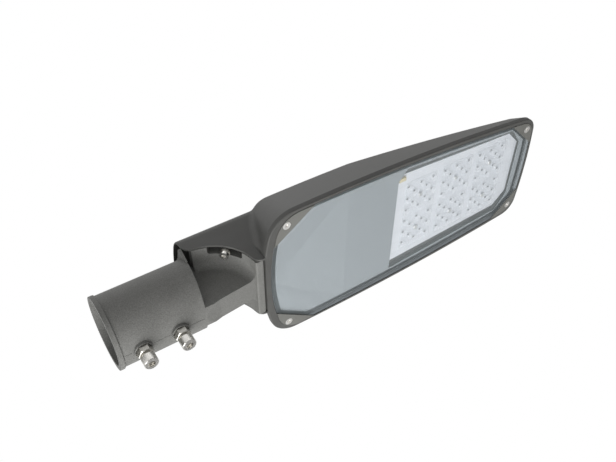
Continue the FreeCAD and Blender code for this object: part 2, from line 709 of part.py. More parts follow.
def beyond_clip_edge(edge, offset, low_z, high_z):
    """The corner space outside a clip's straight inner edge, moved outwards by an offset."""
    (x0, y0), (x1, y1) = edge
    length = math.hypot(x1 - x0, y1 - y0)
    along = ((x1 - x0)/length, (y1 - y0)/length)
    out = (-along[1], along[0])
    if out[1] < 0:
        out = (-out[0], -out[1])
    start = (x0 - REACH*along[0] + offset*out[0], y0 - REACH*along[1] + offset*out[1])
    end = (x1 + REACH*along[0] + offset*out[0], y1 + REACH*along[1] + offset*out[1])
    far = [(end[0] + REACH*out[0], end[1] + REACH*out[1]), (start[0] + REACH*out[0], start[1] + REACH*out[1])]
    return prism_xy([start, end] + far, low_z, high_z)


def clip_screws_at():
    """The four clip screws' places."""
    places = []
    for x, y in (CLIP_SCREW_BASE, CLIP_SCREW_TIP):
        places += [(x, -y), (x, y)]
    return places


def corner_cuts(offset, low_z, high_z):
    """The four corner spaces outside the clips' inner edges."""
    cuts = []
    for edge in (CLIP_EDGE_BASE, CLIP_EDGE_TIP):
        corner = beyond_clip_edge(edge, offset, low_z, high_z)
        cuts += [corner, mirrored(corner)]
    return cuts


def make_fins():
    """The room between the cooling fins, to cut out of the back."""
    field = block((FIN_BASE_X, FIN_TIP_X), (-FIN_FIELD_HALF, FIN_FIELD_HALF), (FLOOR_Z + FLOOR_THICK, REACH))
    field = fillet_where(field, FIN_CORNER_R, lambda e: e.BoundBox.ZLength > BACK_TOP_Z)
    first = -(FIN_COUNT - 1)*FIN_PITCH/2
    fins = [block((0, REACH*2), (first + i*FIN_PITCH - FIN_THICK/2, first + i*FIN_PITCH + FIN_THICK/2),
                  (-REACH, REACH)) for i in range(FIN_COUNT)]
    return field.cut(fins)


def make_housing():
    """The die-cast housing: tapered back with cooling fins, rim, and the hood with its saddle."""
    rim = RIM.prism(RIM_FACE_Z, RIM_TOP_Z)
    rim = fillet_where(rim, RIM_EDGE_R, lambda e: e.BoundBox.ZMax < RIM_FACE_Z + 1e-3)
    body = leaning_body(0.0, BACK_EDGE_R)
    outer = merged([rim, body, make_neck()])
    junction_r = min(JUNCTION_R, RIM_HALF - RIM_BASE_CORNER_R - NECK_HALF)
    outer = fillet_where(outer, junction_r, is_junction)
    pad_start = GLASS_CORNER_CUT + GLASS_EDGE_GAP
    pocket = GLASS.prism(RIM_FACE_Z - SINK, LEDGE_Z, GLASS_EDGE_GAP)
    pocket = pocket.cut(corner_cuts(pad_start, GLASS_FACE_Z, LEDGE_Z + SINK))
    mouth = GLASS.prism(RIM_FACE_Z - SINK, FLOOR_Z, -LEDGE_WIDTH)
    mouth = mouth.cut(corner_cuts(pad_start - LEDGE_WIDTH, RIM_FACE_Z - 2*SINK, FLOOR_Z + SINK))
    cavity = leaning_body(SHELL_WALL, CAVITY_EDGE_R)
    room = block((BULKHEAD_X + BULKHEAD_THICK, FIN_BASE_X - SHELL_WALL), (-REACH, REACH), (FLOOR_Z - SINK, REACH))
    cavity = cavity.common(room)
    cavity = cavity.common(GLASS.prism(-REACH, REACH, -LEDGE_WIDTH))
    shell = outer.cut([pocket, mouth, cavity] + neck_hollow() + [make_fins()])
    additions = []
    for x, y in driver_posts():
        roof = back_z(x) - SHELL_WALL/2
        additions.append(cylinder(POST_R, Vector(x, y, DRIVER_TOP_Z), Z_AXIS, roof - DRIVER_TOP_Z))
    for x, y in terminal_posts():
        roof = back_z(x) - SHELL_WALL*0.75
        additions.append(cylinder(TERMINAL_POST_R, Vector(x, y, TERMINAL_TOP_Z), Z_AXIS, roof - TERMINAL_TOP_Z))
    for y in clamp_places():
        additions.append(clamp_cylinder(CLAMP_BOSS_R, SADDLE_R + SADDLE_WALL/2,
                                        clamp_thread_end() + NECK_WALL, y))
    shell = merged([shell] + additions)
    holes = []
    for x, y in clip_screws_at():
        holes.append(cylinder(CLIP_SCREW_R + THREAD_GAP, Vector(x, y, GLASS_FACE_Z - SINK), Z_AXIS,
                              CLIP_SCREW_LENGTH + SINK))
        holes.append(countersink((x, y)))
    for x, y in driver_posts():
        holes.append(cylinder(M4_R + THREAD_GAP, Vector(x, y, DRIVER_TOP_Z - SINK), Z_AXIS,
                              DRIVER_BITE + 2*SINK))
    for x, y in terminal_posts():
        holes.append(cylinder(M3_R + THREAD_GAP, Vector(x, y, TERMINAL_TOP_Z - SINK), Z_AXIS,
                              TERMINAL_BITE + SINK))
    for y in clamp_places():
        holes.append(clamp_cylinder(CLAMP_R + THREAD_GAP, SADDLE_R - 2*SINK, clamp_thread_end() + SINK, y))
    for x, y in lens_screw_places():
        holes.append(cylinder(LENS_SCREW_R + THREAD_GAP, Vector(x, y, FLOOR_Z - SINK), Z_AXIS,
                              SINK + LENS_SCREW_LENGTH - LENS_STACK))
    holes.append(cylinder(GLAND_THREAD_R + THREAD_GAP, Vector(BULKHEAD_X - SINK, GLAND_Y, GLAND_Z), X_AXIS,
                          BULKHEAD_THICK + 2*SINK))
    return shell.cut(holes)


def is_junction(edge):
    """True for the creases where the neck's cheeks meet the head's leaning base wall."""
    points = [edge.valueAt(edge.FirstParameter + t*(edge.LastParameter - edge.FirstParameter))
              for t in (0.1, 0.5, 0.9)]
    on_cheek = all(abs(abs(p.y) - NECK_HALF) < 1e-3 for p in points)
    return on_cheek and points[1].x > RIM_BASE_X and edge.BoundBox.ZMin > RIM_TOP_Z - 1e-3


def clamp_thread_end():
    """How far from the pivot a clamp screw reaches."""
    return SADDLE_R + CLAMP_THREAD_LENGTH


def led_grid():
    """Rows and columns of one block: the lights' places and the lens screws' places."""
    lights = []
    screws = []
    middle = (LED_ROWS - 1)/2
    for column in range(-2, 3):
        for row in range(LED_ROWS):
            shifted = column % 2 != 0
            if shifted and row == LED_ROWS - 1:
                continue
            y = (row - middle + (0.5 if shifted else 0))*LED_ROW_PITCH
            place = (column*LED_COLUMN_PITCH, y)
            if shifted and row == (LED_ROWS - 1)//2:
                continue
            if column == 0 and row in (1, LED_ROWS - 2):
                screws.append(place)
                continue
            lights.append(place)
    return lights, screws


def block_centres():
    """The places of the lens blocks along the board."""
    return [BLOCK_FIRST_X + i*BLOCK_PITCH for i in range(BLOCK_COUNT)]


def lens_screw_places():
    """All the lens screws' places on the board."""
    _, screws = led_grid()
    return [(x + dx, dy) for x in block_centres() for dx, dy in screws]


def make_board():
    """The light board, a flat sheet with screw holes."""
    board = prism_xy(board_points(), BOARD_FACE_Z, BOARD_FACE_Z + BOARD_THICK)
    holes = [cylinder(LENS_SCREW_R + THREAD_GAP, Vector(x, y, BOARD_FACE_Z - SINK), Z_AXIS, 2*SINK + BOARD_THICK)
             for x, y in lens_screw_places()]
    return board.cut(holes)


def make_chips():
    """The light-emitting chips on the board."""
    lights, _ = led_grid()
    half = CHIP_SIDE/2
    return group([block((x + dx - half, x + dx + half), (dy - half, dy + half),
                        (BOARD_FACE_Z - CHIP_THICK, BOARD_FACE_Z))
                  for x in block_centres() for dx, dy in lights])


def lens_ring(centre, radius):
    """The closed outline of a lens at one height, longer across the block than along it."""
    corners = [centre + Vector(radius*math.cos(a), radius*LENS_STRETCH*math.sin(a), 0)
               for a in (math.radians(LENS_FIRST_ANGLE + 360/LENS_SIDES*i) for i in range(LENS_SIDES))]
    return Part.makePolygon(corners + corners[:1])


def make_lens(centre):
    """One lens that stands down from the plate."""
    return Part.makeLoft([lens_ring(centre, LENS_FOOT_R), lens_ring(centre - Vector(0, 0, LENS_HEIGHT), LENS_TOP_R)],
                         True, True)


def make_lens_block(x):
    """One moulded lens block: a plate on a low frame, with a lens over each chip."""
    lights, screws = led_grid()
    half_x = LENS_PLATE_X/2
    half_y = LENS_PLATE_Y/2
    low = BOARD_FACE_Z - LENS_LIFT - LENS_PLATE_THICK
    plate = block((x - half_x, x + half_x), (-half_y, half_y), (low, BOARD_FACE_Z))
    plate = fillet_where(plate, 3.0, lambda e: e.BoundBox.ZLength > LENS_PLATE_THICK)
    under = block((x - half_x + LENS_FRAME, x + half_x - LENS_FRAME),
                  (-half_y + LENS_FRAME, half_y - LENS_FRAME), (BOARD_FACE_Z - LENS_LIFT, BOARD_FACE_Z + SINK))
    plate = plate.cut(under)
    feet = [cylinder(LENS_SCREW_HEAD_R, Vector(x + dx, dy, BOARD_FACE_Z), -Z_AXIS, LENS_LIFT + SINK/2)
            for dx, dy in screws]
    lenses = [make_lens(Vector(x + dx, dy, low + SINK/4)) for dx, dy in lights]
    solid = plate.fuse(feet + lenses)
    holes = [cylinder(LENS_SCREW_R + THREAD_GAP, Vector(x + dx, dy, low - SINK), Z_AXIS, REACH)
             for dx, dy in screws]
    return solid.cut(holes)


def countersunk_screw(place, face_z, head_r, head_depth, shank_r, length, key_af):
    """A countersunk socket screw that points up into the housing, with its face down."""
    x, y = place
    head = Part.makeCone(head_r, shank_r, head_depth, Vector(x, y, face_z), Z_AXIS)
    shank = cylinder(shank_r, Vector(x, y, face_z + head_depth/2), Z_AXIS, length - head_depth/2)
    screw = head.fuse(shank).removeSplitter()
    key = hex_prism(key_af, Vector(x, y, face_z - SINK), Z_AXIS, SINK + head_depth*0.7)
    return screw.cut(key)


def pan_screw(place, seat_z, head_r, head_thick, shank_r, length):
    """A pan-head screw that points up into the housing from a seat."""
    x, y = place
    head = Part.makeCone(head_r, head_r*PAN_TAPER, head_thick, Vector(x, y, seat_z), -Z_AXIS)
    shank = cylinder(shank_r, Vector(x, y, seat_z - head_thick/2), Z_AXIS, length + head_thick/2)
    slot = block((x - head_r*0.7, x + head_r*0.7), (y - head_thick*0.2, y + head_thick*0.2),
                 (seat_z - head_thick - SINK, seat_z - head_thick*0.55))
    return head.fuse(shank).cut(slot)


def make_glass():
    """The flat glass pane with its corners cut off under the clips."""
    pane = GLASS.prism(GLASS_FACE_Z, GLASS_IN_Z)
    return pane.cut(corner_cuts(GLASS_CORNER_CUT, GLASS_FACE_Z - SINK, GLASS_IN_Z + SINK))


def make_print():
    """The printed border on the inner face of the glass, with its clear window."""
    low, high = GLASS_IN_Z, GLASS_IN_Z + PRINT_THICK
    sheet = GLASS.prism(low, high, -PRINT_INSET)
    sheet = sheet.cut(corner_cuts(GLASS_CORNER_CUT - PRINT_INSET, low - SINK, high + SINK))
    return sheet.cut(prism_xy(window_points(0.0), low - SINK, high + SINK))


def make_seal():
    """The seal that lies between the glass and the housing's ledge."""
    low, high = GLASS_IN_Z + PRINT_THICK, LEDGE_Z
    outer = GLASS.prism(low, high, -SEAL_INSET)
    outer = outer.cut(corner_cuts(GLASS_CORNER_CUT - SEAL_INSET, low - SINK, high + SINK))
    inner = GLASS.prism(low - SINK, high + SINK, -SEAL_INSET - SEAL_WIDTH)
    inner = inner.cut(corner_cuts(GLASS_CORNER_CUT - SEAL_INSET - SEAL_WIDTH, low - 2*SINK, high + 2*SINK))
    return outer.cut(inner)


def countersink(place):
    """The cone that a clip screw's head needs in the clip and the pad behind it."""
    x, y = place
    return Part.makeCone(CLIP_HEAD_R + THREAD_GAP, CLIP_SCREW_R + THREAD_GAP, CLIP_HEAD_DEPTH,
                         Vector(x, y, CLIP_FACE_Z), Z_AXIS)


def make_clip(edge, screw, side):
    """A flat corner clip that holds the glass, with its countersunk hole."""
    clip = GLASS.prism(CLIP_FACE_Z, GLASS_FACE_Z, GLASS_EDGE_GAP/2)
    clip = clip.common(beyond_clip_edge(edge, 0.0, CLIP_FACE_Z - SINK, GLASS_FACE_Z + SINK))
    clip = clip.cut(countersink(screw))
    return mirrored(clip) if side < 0 else clip


def make_clip_screws():
    """The four screws through the clips."""
    return group([countersunk_screw(place, CLIP_FACE_Z, CLIP_HEAD_R, CLIP_HEAD_DEPTH, CLIP_SCREW_R,
                                    CLIP_SCREW_LENGTH, CLIP_KEY_AF) for place in clip_screws_at()])


def make_clamp_screws():
    """The two socket screws that clamp the flange to the saddle."""
    screws = []
    seat = clamp_seat_r() - FLAT_WASHER_THICK - SPRING_WASHER_THICK
    for y in clamp_places():
        shank = clamp_cylinder(CLAMP_R, seat - CLAMP_HEAD_LENGTH/2, clamp_thread_end(), y)
        head = clamp_cylinder(CLAMP_HEAD_R, seat - CLAMP_HEAD_LENGTH, seat, y)
        key = hex_prism(CLAMP_KEY_AF, at_pivot(seat - CLAMP_HEAD_LENGTH - SINK, CLAMP_ANGLE, y),
                        out_from_pivot(CLAMP_ANGLE), SINK + CLAMP_HEAD_LENGTH/2)
        screws.append(head.fuse(shank).cut(key))
    return group(screws)


def make_washers(outer_r, thick, seat, split):
    """A pair of washers on the clamp screws, with a split if they are spring washers."""
    washers = []
    for y in clamp_places():
        disc = clamp_cylinder(outer_r, seat - thick, seat, y)
        ring = disc.cut(clamp_cylinder(CLAMP_R + THREAD_GAP, seat - thick - SINK, seat + SINK, y))
        if split:
            middle = at_pivot(seat - thick/2, CLAMP_ANGLE, y)
            opening = block((middle.x - outer_r, middle.x + outer_r), (y, y + 2*outer_r),
                            (middle.z - split/2, middle.z + split/2))
            opening.rotate(middle, Y_AXIS, -CLAMP_ANGLE)
            ring = ring.cut(opening)
        washers.append(ring)
    return group(washers)


def make_set_screws():
    """The two socket set screws that grip the pole, backed out of the bore."""
    screws = []
    for x in SET_SCREW_X:
        shank = cylinder(SET_SCREW_R, Vector(x, 0, -SET_SCREW_TIP_R), -Z_AXIS,
                         SET_SCREW_END_R - SET_SCREW_TIP_R - SET_HEAD_LENGTH/2)
        head_start = -(SET_SCREW_END_R - SET_HEAD_LENGTH)
        head = cylinder(SET_HEAD_R, Vector(x, 0, head_start), -Z_AXIS, SET_HEAD_LENGTH)
        head = head.makeChamfer(SET_HEAD_CHAMFER,
                                [e for e in head.Edges if abs(e.BoundBox.ZMax + SET_SCREW_END_R) < 1e-6])
        key = hex_prism(SET_KEY_AF, Vector(x, 0, -SET_SCREW_END_R - SINK), Z_AXIS, SINK + SET_HEAD_LENGTH/2)
        screws.append(head.fuse(shank).cut(key))
    return group(screws)


def make_lock_nuts():
    """The hexagon nuts that lock the set screws against the tube."""
    nuts = []
    start = -(SET_BOSS_TOP_R - SET_SEAT_DEPTH)
    face_r = LOCK_NUT_AF/2 - LOCK_NUT_CHAMFER/2
    for x in SET_SCREW_X:
        nut = hex_prism(LOCK_NUT_AF, Vector(x, 0, start), -Z_AXIS, LOCK_NUT_THICK)
        cone = Part.makeCone(face_r, face_r + LOCK_NUT_THICK/math.tan(math.radians(LOCK_NUT_CHAMFER_ANGLE)),
                             LOCK_NUT_THICK, Vector(x, 0, start - LOCK_NUT_THICK), Z_AXIS)
        nut = nut.common(cone)
        hole = cylinder(SET_SCREW_R + THREAD_GAP, Vector(x, 0, start + SINK), -Z_AXIS, LOCK_NUT_THICK + 2*SINK)
        nuts.append(nut.cut(hole))
    return group(nuts)


def make_driver():
    """The closed driver with a screw foot at each end."""
    low = DRIVER_TOP_Z - DRIVER_HEIGHT
    box = block(DRIVER_X, DRIVER_Y, (low, DRIVER_TOP_Z))
    box = fillet_where(box, DRIVER_EDGE_R, lambda e: e.BoundBox.XLength > DRIVER_LENGTH/2)
    middle = sum(DRIVER_Y)/2
    half = DRIVER_FOOT_WIDE/2
    feet = block((DRIVER_X[0] - DRIVER_FOOT, DRIVER_X[1] + DRIVER_FOOT), (middle - half, middle + half),
                 (DRIVER_TOP_Z - DRIVER_FOOT_THICK, DRIVER_TOP_Z))
    solid = merged([box, feet])
    return solid.cut([cylinder(M4_R + 0.3, Vector(x, y, low - REACH), Z_AXIS, 2*REACH) for x, y in driver_posts()])


def make_driver_screws():
    """The two screws through the driver's feet."""
    seat = DRIVER_TOP_Z - DRIVER_FOOT_THICK
    return group([pan_screw(place, seat, M4_HEAD_R, M4_HEAD, M4_R, DRIVER_FOOT_THICK + DRIVER_BITE)
                  for place in driver_posts()])


def make_terminal():
    """The terminal block with its cable holes and screw wells."""
    low = TERMINAL_TOP_Z - TERMINAL_HEIGHT
    solid = block(TERMINAL_X, TERMINAL_Y, (low, TERMINAL_TOP_Z))
    pitch = (TERMINAL_X[1] - TERMINAL_X[0])/TERMINAL_WAYS
    for i in range(TERMINAL_WAYS):
        x = TERMINAL_X[0] + (i + 0.5)*pitch
        middle = sum(TERMINAL_Y)/2
        way = cylinder(TERMINAL_HOLE_R, Vector(x, TERMINAL_Y[0] - SINK, low + TERMINAL_WELL), Y_AXIS, REACH)
        well = cylinder(TERMINAL_HOLE_R, Vector(x, middle, low - SINK), Z_AXIS, TERMINAL_WELL)
        solid = solid.cut([way, well])
    return solid.cut([cylinder(M3_R + 0.2, Vector(x, y, low - SINK), Z_AXIS, REACH) for x, y in terminal_posts()])


def make_terminal_screws():
    """The two screws through the terminal block."""
    seat = TERMINAL_TOP_Z - TERMINAL_HEIGHT
    length = TERMINAL_HEIGHT + TERMINAL_BITE - SINK
    return group([pan_screw(place, seat, M3_HEAD_R, M3_HEAD, M3_R, length) for place in terminal_posts()])


def make_gland():
    """The cable gland's body, screwed through the bulkhead, with its dome."""
    seat = BULKHEAD_X - GLAND_SEAL_THICK
    centre = Vector(seat, GLAND_Y, GLAND_Z)
    flange = hex_prism(GLAND_HEX_AF, centre, -X_AXIS, GLAND_HEX_THICK)
    dome_x = seat - GLAND_HEX_THICK
    dome = Part.makeCone(GLAND_CAP_R, GLAND_CAP_R - 2.0, GLAND_CAP_LENGTH, Vector(dome_x, GLAND_Y, GLAND_Z), -X_AXIS)
    thread = cylinder(GLAND_THREAD_R, centre, X_AXIS, GLAND_SEAL_THICK + BULKHEAD_THICK + GLAND_THREAD_IN)
    solid = merged([flange, dome, thread])
    bore = cylinder(GLAND_BORE_R, Vector(0, GLAND_Y, GLAND_Z), X_AXIS, REACH)
    return solid.cut(bore)


def make_gland_seal():
    """The flat seal under the gland's hexagon."""
    centre = Vector(BULKHEAD_X, GLAND_Y, GLAND_Z)
    ring = cylinder(GLAND_HEX_AF/2 - 0.2, centre, -X_AXIS, GLAND_SEAL_THICK)
    return ring.cut(cylinder(GLAND_THREAD_R + THREAD_GAP, Vector(0, GLAND_Y, GLAND_Z), X_AXIS, REACH))


def make_gland_nut():
    """The nut that holds the gland from inside the head."""
    centre = Vector(BULKHEAD_X + BULKHEAD_THICK, GLAND_Y, GLAND_Z)
    nut = hex_prism(GLAND_HEX_AF, centre, X_AXIS, GLAND_NUT_THICK)
    return nut.cut(cylinder(GLAND_THREAD_R + THREAD_GAP, Vector(0, GLAND_Y, GLAND_Z), X_AXIS, REACH))


def main():
    """Build every node and write it."""
    os.makedirs("parts", exist_ok=True)
    seat = clamp_seat_r()
    nodes = {
        "spigot": make_spigot(),
        "set_screws": make_set_screws(),
        "lock_nuts": make_lock_nuts(),
        "housing": make_housing(),
        "clamp_screws": make_clamp_screws(),
        "flat_washers": make_washers(FLAT_WASHER_R, FLAT_WASHER_THICK, seat, 0),
        "spring_washers": make_washers(SPRING_WASHER_R, SPRING_WASHER_THICK, seat - FLAT_WASHER_THICK,
                                       SPRING_WASHER_SPLIT),
        "glass_pane": make_glass(),
        "border_print": make_print(),
        "glass_seal": make_seal(),
        "clip_base_left": make_clip(CLIP_EDGE_BASE, CLIP_SCREW_BASE, 1),
        "clip_base_right": make_clip(CLIP_EDGE_BASE, CLIP_SCREW_BASE, -1),
        "clip_tip_left": make_clip(CLIP_EDGE_TIP, CLIP_SCREW_TIP, 1),
        "clip_tip_right": make_clip(CLIP_EDGE_TIP, CLIP_SCREW_TIP, -1),
        "clip_screws": make_clip_screws(),
        "light_board": make_board(),
        "light_chips": make_chips(),
        "driver": make_driver(),
        "driver_screws": make_driver_screws(),
        "terminal_block": make_terminal(),
        "terminal_screws": make_terminal_screws(),
        "cable_gland": make_gland(),
        "gland_seal": make_gland_seal(),
        "gland_nut": make_gland_nut(),
        "lens_screws": group([pan_screw(place, BOARD_FACE_Z - LENS_LIFT - LENS_PLATE_THICK, LENS_SCREW_HEAD_R,
                                        LENS_SCREW_HEAD, LENS_SCREW_R, LENS_SCREW_LENGTH)
                              for place in lens_screw_places()]),
    }
    for number, x in enumerate(block_centres(), start=1):
        nodes["lens_block_%d" % number] = make_lens_block(x)
    for name, shape in nodes.items():
        shape.exportStep("parts/%s.step" % name)
        print(name, len(shape.Solids), "solids", round(shape.Volume/1000, 1), "cm3", shape.isValid())


main()
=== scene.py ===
"""Looks for the street light head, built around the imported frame.

The finishes name each noise by what it draws. Its plain field is its size in metres, a share
is its weight in the tone, a sheen is its swing in the roughness, and a depth is the height of
its relief in metres.
"""

import logging
import math
from dataclasses import dataclass, field
from enum import Enum
from typing import Callable, Iterable, Optional, Sequence

import bpy
from mathutils import Matrix, Vector


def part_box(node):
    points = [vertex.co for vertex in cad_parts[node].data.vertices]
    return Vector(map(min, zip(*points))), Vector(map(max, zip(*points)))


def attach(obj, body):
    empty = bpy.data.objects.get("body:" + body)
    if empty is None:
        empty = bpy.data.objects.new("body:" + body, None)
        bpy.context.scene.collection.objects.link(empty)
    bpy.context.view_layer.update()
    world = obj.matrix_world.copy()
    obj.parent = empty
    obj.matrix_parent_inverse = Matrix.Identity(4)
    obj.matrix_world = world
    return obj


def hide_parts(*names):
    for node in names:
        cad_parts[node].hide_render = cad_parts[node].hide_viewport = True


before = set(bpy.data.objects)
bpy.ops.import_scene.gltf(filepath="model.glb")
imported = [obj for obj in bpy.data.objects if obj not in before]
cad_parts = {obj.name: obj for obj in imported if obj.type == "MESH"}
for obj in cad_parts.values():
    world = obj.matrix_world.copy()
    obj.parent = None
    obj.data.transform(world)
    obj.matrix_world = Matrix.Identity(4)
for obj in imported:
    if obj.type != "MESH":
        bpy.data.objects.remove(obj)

LOG = logging.getLogger("street_light")
MM = 0.001
HEAD = "head_body"
SPIGOT = "spigot_body"

# The place along X that the lamps aim at and the floor lies under
AIM_X = 0.27
# The mean of a noise, and how rough its finer layers are
NOISE_MIDDLE = 0.5
NOISE_ROUGHNESS = 0.55
# Turns a height in metres into a step that is complete within a hundredth of a millimetre
STEP_SLOPE = 100000.0
# The sockets of a Mix node that mixes colours
MIX_FACTOR, MIX_FIRST, MIX_SECOND, MIX_RESULT = 0, 6, 7, 2

Colour = tuple[float, float, float]
Place = tuple[float, float, float]

BLACK: Colour = (0.0, 0.0, 0.0)
WHITE: Colour = (1.0, 1.0, 1.0)


def linear(code: str) -> Colour:
    """Turn a screen colour into the linear one that shaders use.

    Args:
        code: Six hexadecimal digits, red first.

    Returns:
        Linear red, green and blue.
    """
    full, knee, divisor, offset, gamma = 255, 0.04045, 12.92, 0.055, 2.4
    values = [int(code[i:i + 2], 16)/full for i in (0, 2, 4)]
    red, green, blue = (
        v/divisor if v <= knee else ((v + offset)/(1 + offset))**gamma for v in values
    )
    return red, green, blue


class Maths(Enum):
    """The Math node operations that expressions use."""

    ADD = "ADD"
    SUBTRACT = "SUBTRACT"
    MULTIPLY = "MULTIPLY"
    MAXIMUM = "MAXIMUM"
    MINIMUM = "MINIMUM"
    ABSOLUTE = "ABSOLUTE"
    SINE = "SINE"


class Axis(Enum):
    """The components of a vector, by number."""

    X = 0
    Y = 1
    Z = 2


class Wire:
    """A socket that takes part in arithmetic."""

    def __init__(self, tree: bpy.types.NodeTree, socket: bpy.types.NodeSocket) -> None:
        """Keep the tree and the socket."""
        self.tree = tree
        self.socket = socket

    def _with(self, operation: Maths, left: object, right: object = None) -> "Wire":
        """Add one Math node.

        Args:
            operation: What the node does.
            left: The first value, a number or a wire.
            right: The second value, if the operation takes one.

        Returns:
            The node's result.
        """
        node = self.tree.nodes.new("ShaderNodeMath")
        node.operation = operation.value
        for socket, value in zip(node.inputs, (left, right)):
            if isinstance(value, Wire):
                self.tree.links.new(value.socket, socket)
            elif value is not None:
                socket.default_value = float(value)
        return Wire(self.tree, node.outputs[0])

    def __add__(self, other: object) -> "Wire":
        """Add."""
        return self._with(Maths.ADD, self, other)

    def __sub__(self, other: object) -> "Wire":
        """Take away."""
        return self._with(Maths.SUBTRACT, self, other)

    def __rsub__(self, other: object) -> "Wire":
        """Take this away from another value."""
        return self._with(Maths.SUBTRACT, other, self)

    def __mul__(self, other: object) -> "Wire":
        """Multiply."""
        return self._with(Maths.MULTIPLY, self, other)

    def __abs__(self) -> "Wire":
        """Drop the sign."""
        return self._with(Maths.ABSOLUTE, self)

    def sine(self) -> "Wire":
        """Take the sine."""
        return self._with(Maths.SINE, self)

    def swing(self, amount: float) -> "Wire":
        """Turn a noise into a swing about nought, of a given size."""
        return (self - NOISE_MIDDLE)*amount

    def clipped(self) -> "Wire":
        """Keep between nought and one."""
        return self._with(Maths.MINIMUM, self._with(Maths.MAXIMUM, self, 0.0), 1.0)


class Surface:
    """A node material under construction, with its Principled shader."""

    def __init__(self, name: str) -> None:
        """Start an empty material with one Principled shader.

        Args:
            name: The material's name.
        """
        self.material = bpy.data.materials.new(name)
        self.material.use_nodes = True
        self.tree = self.material.node_tree
        self.tree.nodes.clear()
        output = self.tree.nodes.new("ShaderNodeOutputMaterial")
        self.shader = self.tree.nodes.new("ShaderNodeBsdfPrincipled")
        self.tree.links.new(self.shader.outputs[0], output.inputs["Surface"])
        self.places = self.add("ShaderNodeTexCoord").outputs["Object"]

    def add(
        self,
        kind: str,
        settings: Optional[dict] = None,
        inputs: Optional[dict] = None,
    ) -> bpy.types.Node:
        """Add any node.

        Args:
            kind: The node's type.
            settings: Attributes, set first.
            inputs: Values or wires for its sockets, by name or number.

        Returns:
            The node.
        """
        node = self.tree.nodes.new(kind)
        for key, value in (settings or {}).items():
            setattr(node, key, value)
        for key, value in (inputs or {}).items():
            self.feed(node.inputs[key], value)
        return node

    def feed(self, socket: bpy.types.NodeSocket, value: object) -> None:
        """Give a socket a value or a link.

        Args:
            socket: Where it goes.
            value: A wire, a socket, a number, a colour or a vector.
        """
        if isinstance(value, Wire):
            self.tree.links.new(value.socket, socket)
        elif isinstance(value, bpy.types.NodeSocket):
            self.tree.links.new(value, socket)
        elif isinstance(value, tuple) and len(value) == 3 and socket.type == "RGBA":
            socket.default_value = (*value, 1.0)
        else:
            socket.default_value = value

    def stretched(self, scale: Place) -> bpy.types.NodeSocket:
        """The object's coordinates, scaled by axis.

        Args:
            scale: Factor along each axis.

        Returns:
            The vector socket.
        """
        node = self.add("ShaderNodeMapping", inputs={"Vector": self.places, "Scale": scale})
        return node.outputs[0]

    def noise(
        self,
        size: float,
        detail: float,
        vector: Optional[bpy.types.NodeSocket] = None,
    ) -> Wire:
        """Soft noise with cells of a given size.

        Args:
            size: Size of a cell in metres.
            detail: How much finer noise is laid over it.
            vector: Coordinates other than the object's own.

        Returns:
            The noise, about one half on average.
        """
        node = self.add("ShaderNodeTexNoise", inputs={
            "Vector": vector or self.places,
            "Scale": 1.0/size,
            "Detail": detail,
            "Roughness": NOISE_ROUGHNESS,
        })
        return Wire(self.tree, node.outputs[0])

    def speckle(self, size: float) -> Wire:
        """Round grains of a given size, as the distance from each grain's middle."""
        node = self.add("ShaderNodeTexVoronoi", inputs={"Vector": self.places, "Scale": 1.0/size})
        return Wire(self.tree, node.outputs["Distance"])

    def part(self, vector: bpy.types.NodeSocket, axis: Axis) -> Wire:
        """One component of a vector."""
        node = self.add("ShaderNodeSeparateXYZ", inputs={"Vector": vector})
        return Wire(self.tree, node.outputs[axis.value])

    def along(self, axis: Axis) -> Wire:
        """The place along one axis, in metres."""
        return self.part(self.places, axis)

    def above(self, level: float) -> Wire:
        """One above a height in metres and nought below it, with a sharp step."""
        return ((self.along(Axis.Z) - level)*STEP_SLOPE).clipped()

    def blend(self, factor: object, first: object, second: object) -> bpy.types.NodeSocket:
        """Mix two colours.

        Args:
            factor: Share of the second colour.
            first: Colour or socket.
            second: Colour or socket.

        Returns:
            The mixed colour.
        """
        inputs = {MIX_FACTOR: factor, MIX_FIRST: first, MIX_SECOND: second}
        node = self.add("ShaderNodeMix", {"data_type": "RGBA"}, inputs)
        return node.outputs[MIX_RESULT]

    def tones(self, factor: Wire, dark: str, light: str) -> bpy.types.NodeSocket:
        """Mix two screen colours; the factor is the share of the light one."""
        return self.blend(factor, linear(dark), linear(light))

    def relief(
        self,
        height: Wire,
        depth: float,
        strength: float = 1.0,
        flat: bool = False,
    ) -> None:
        """Raise the surface's shading by a height.

        Args:
            height: Height from nought to one.
            depth: What a height of one stands for, in metres.
            strength: Share of the effect.
            flat: Whether the relief lies on the flat facets and not on the smoothed form.
        """
        inputs = {"Height": height, "Distance": depth, "Strength": strength}
        node = self.add("ShaderNodeBump", inputs=inputs)
        if flat:
            self.feed(node.inputs["Normal"], self.facet_normal())
        self.feed(self.shader.inputs["Normal"], node.outputs[0])

    def facet_normal(self) -> bpy.types.NodeSocket:
        """The direction of the flat facet itself, for panes that must shade evenly."""
        return self.add("ShaderNodeNewGeometry").outputs["True Normal"]

    def set(self, **values: object) -> None:
        """Set the shader's sockets.

        Args:
            values: Socket names, with an underscore for a space, and what they get.
        """
        for key, value in values.items():
            self.feed(self.shader.inputs[key.replace("_", " ")], value)


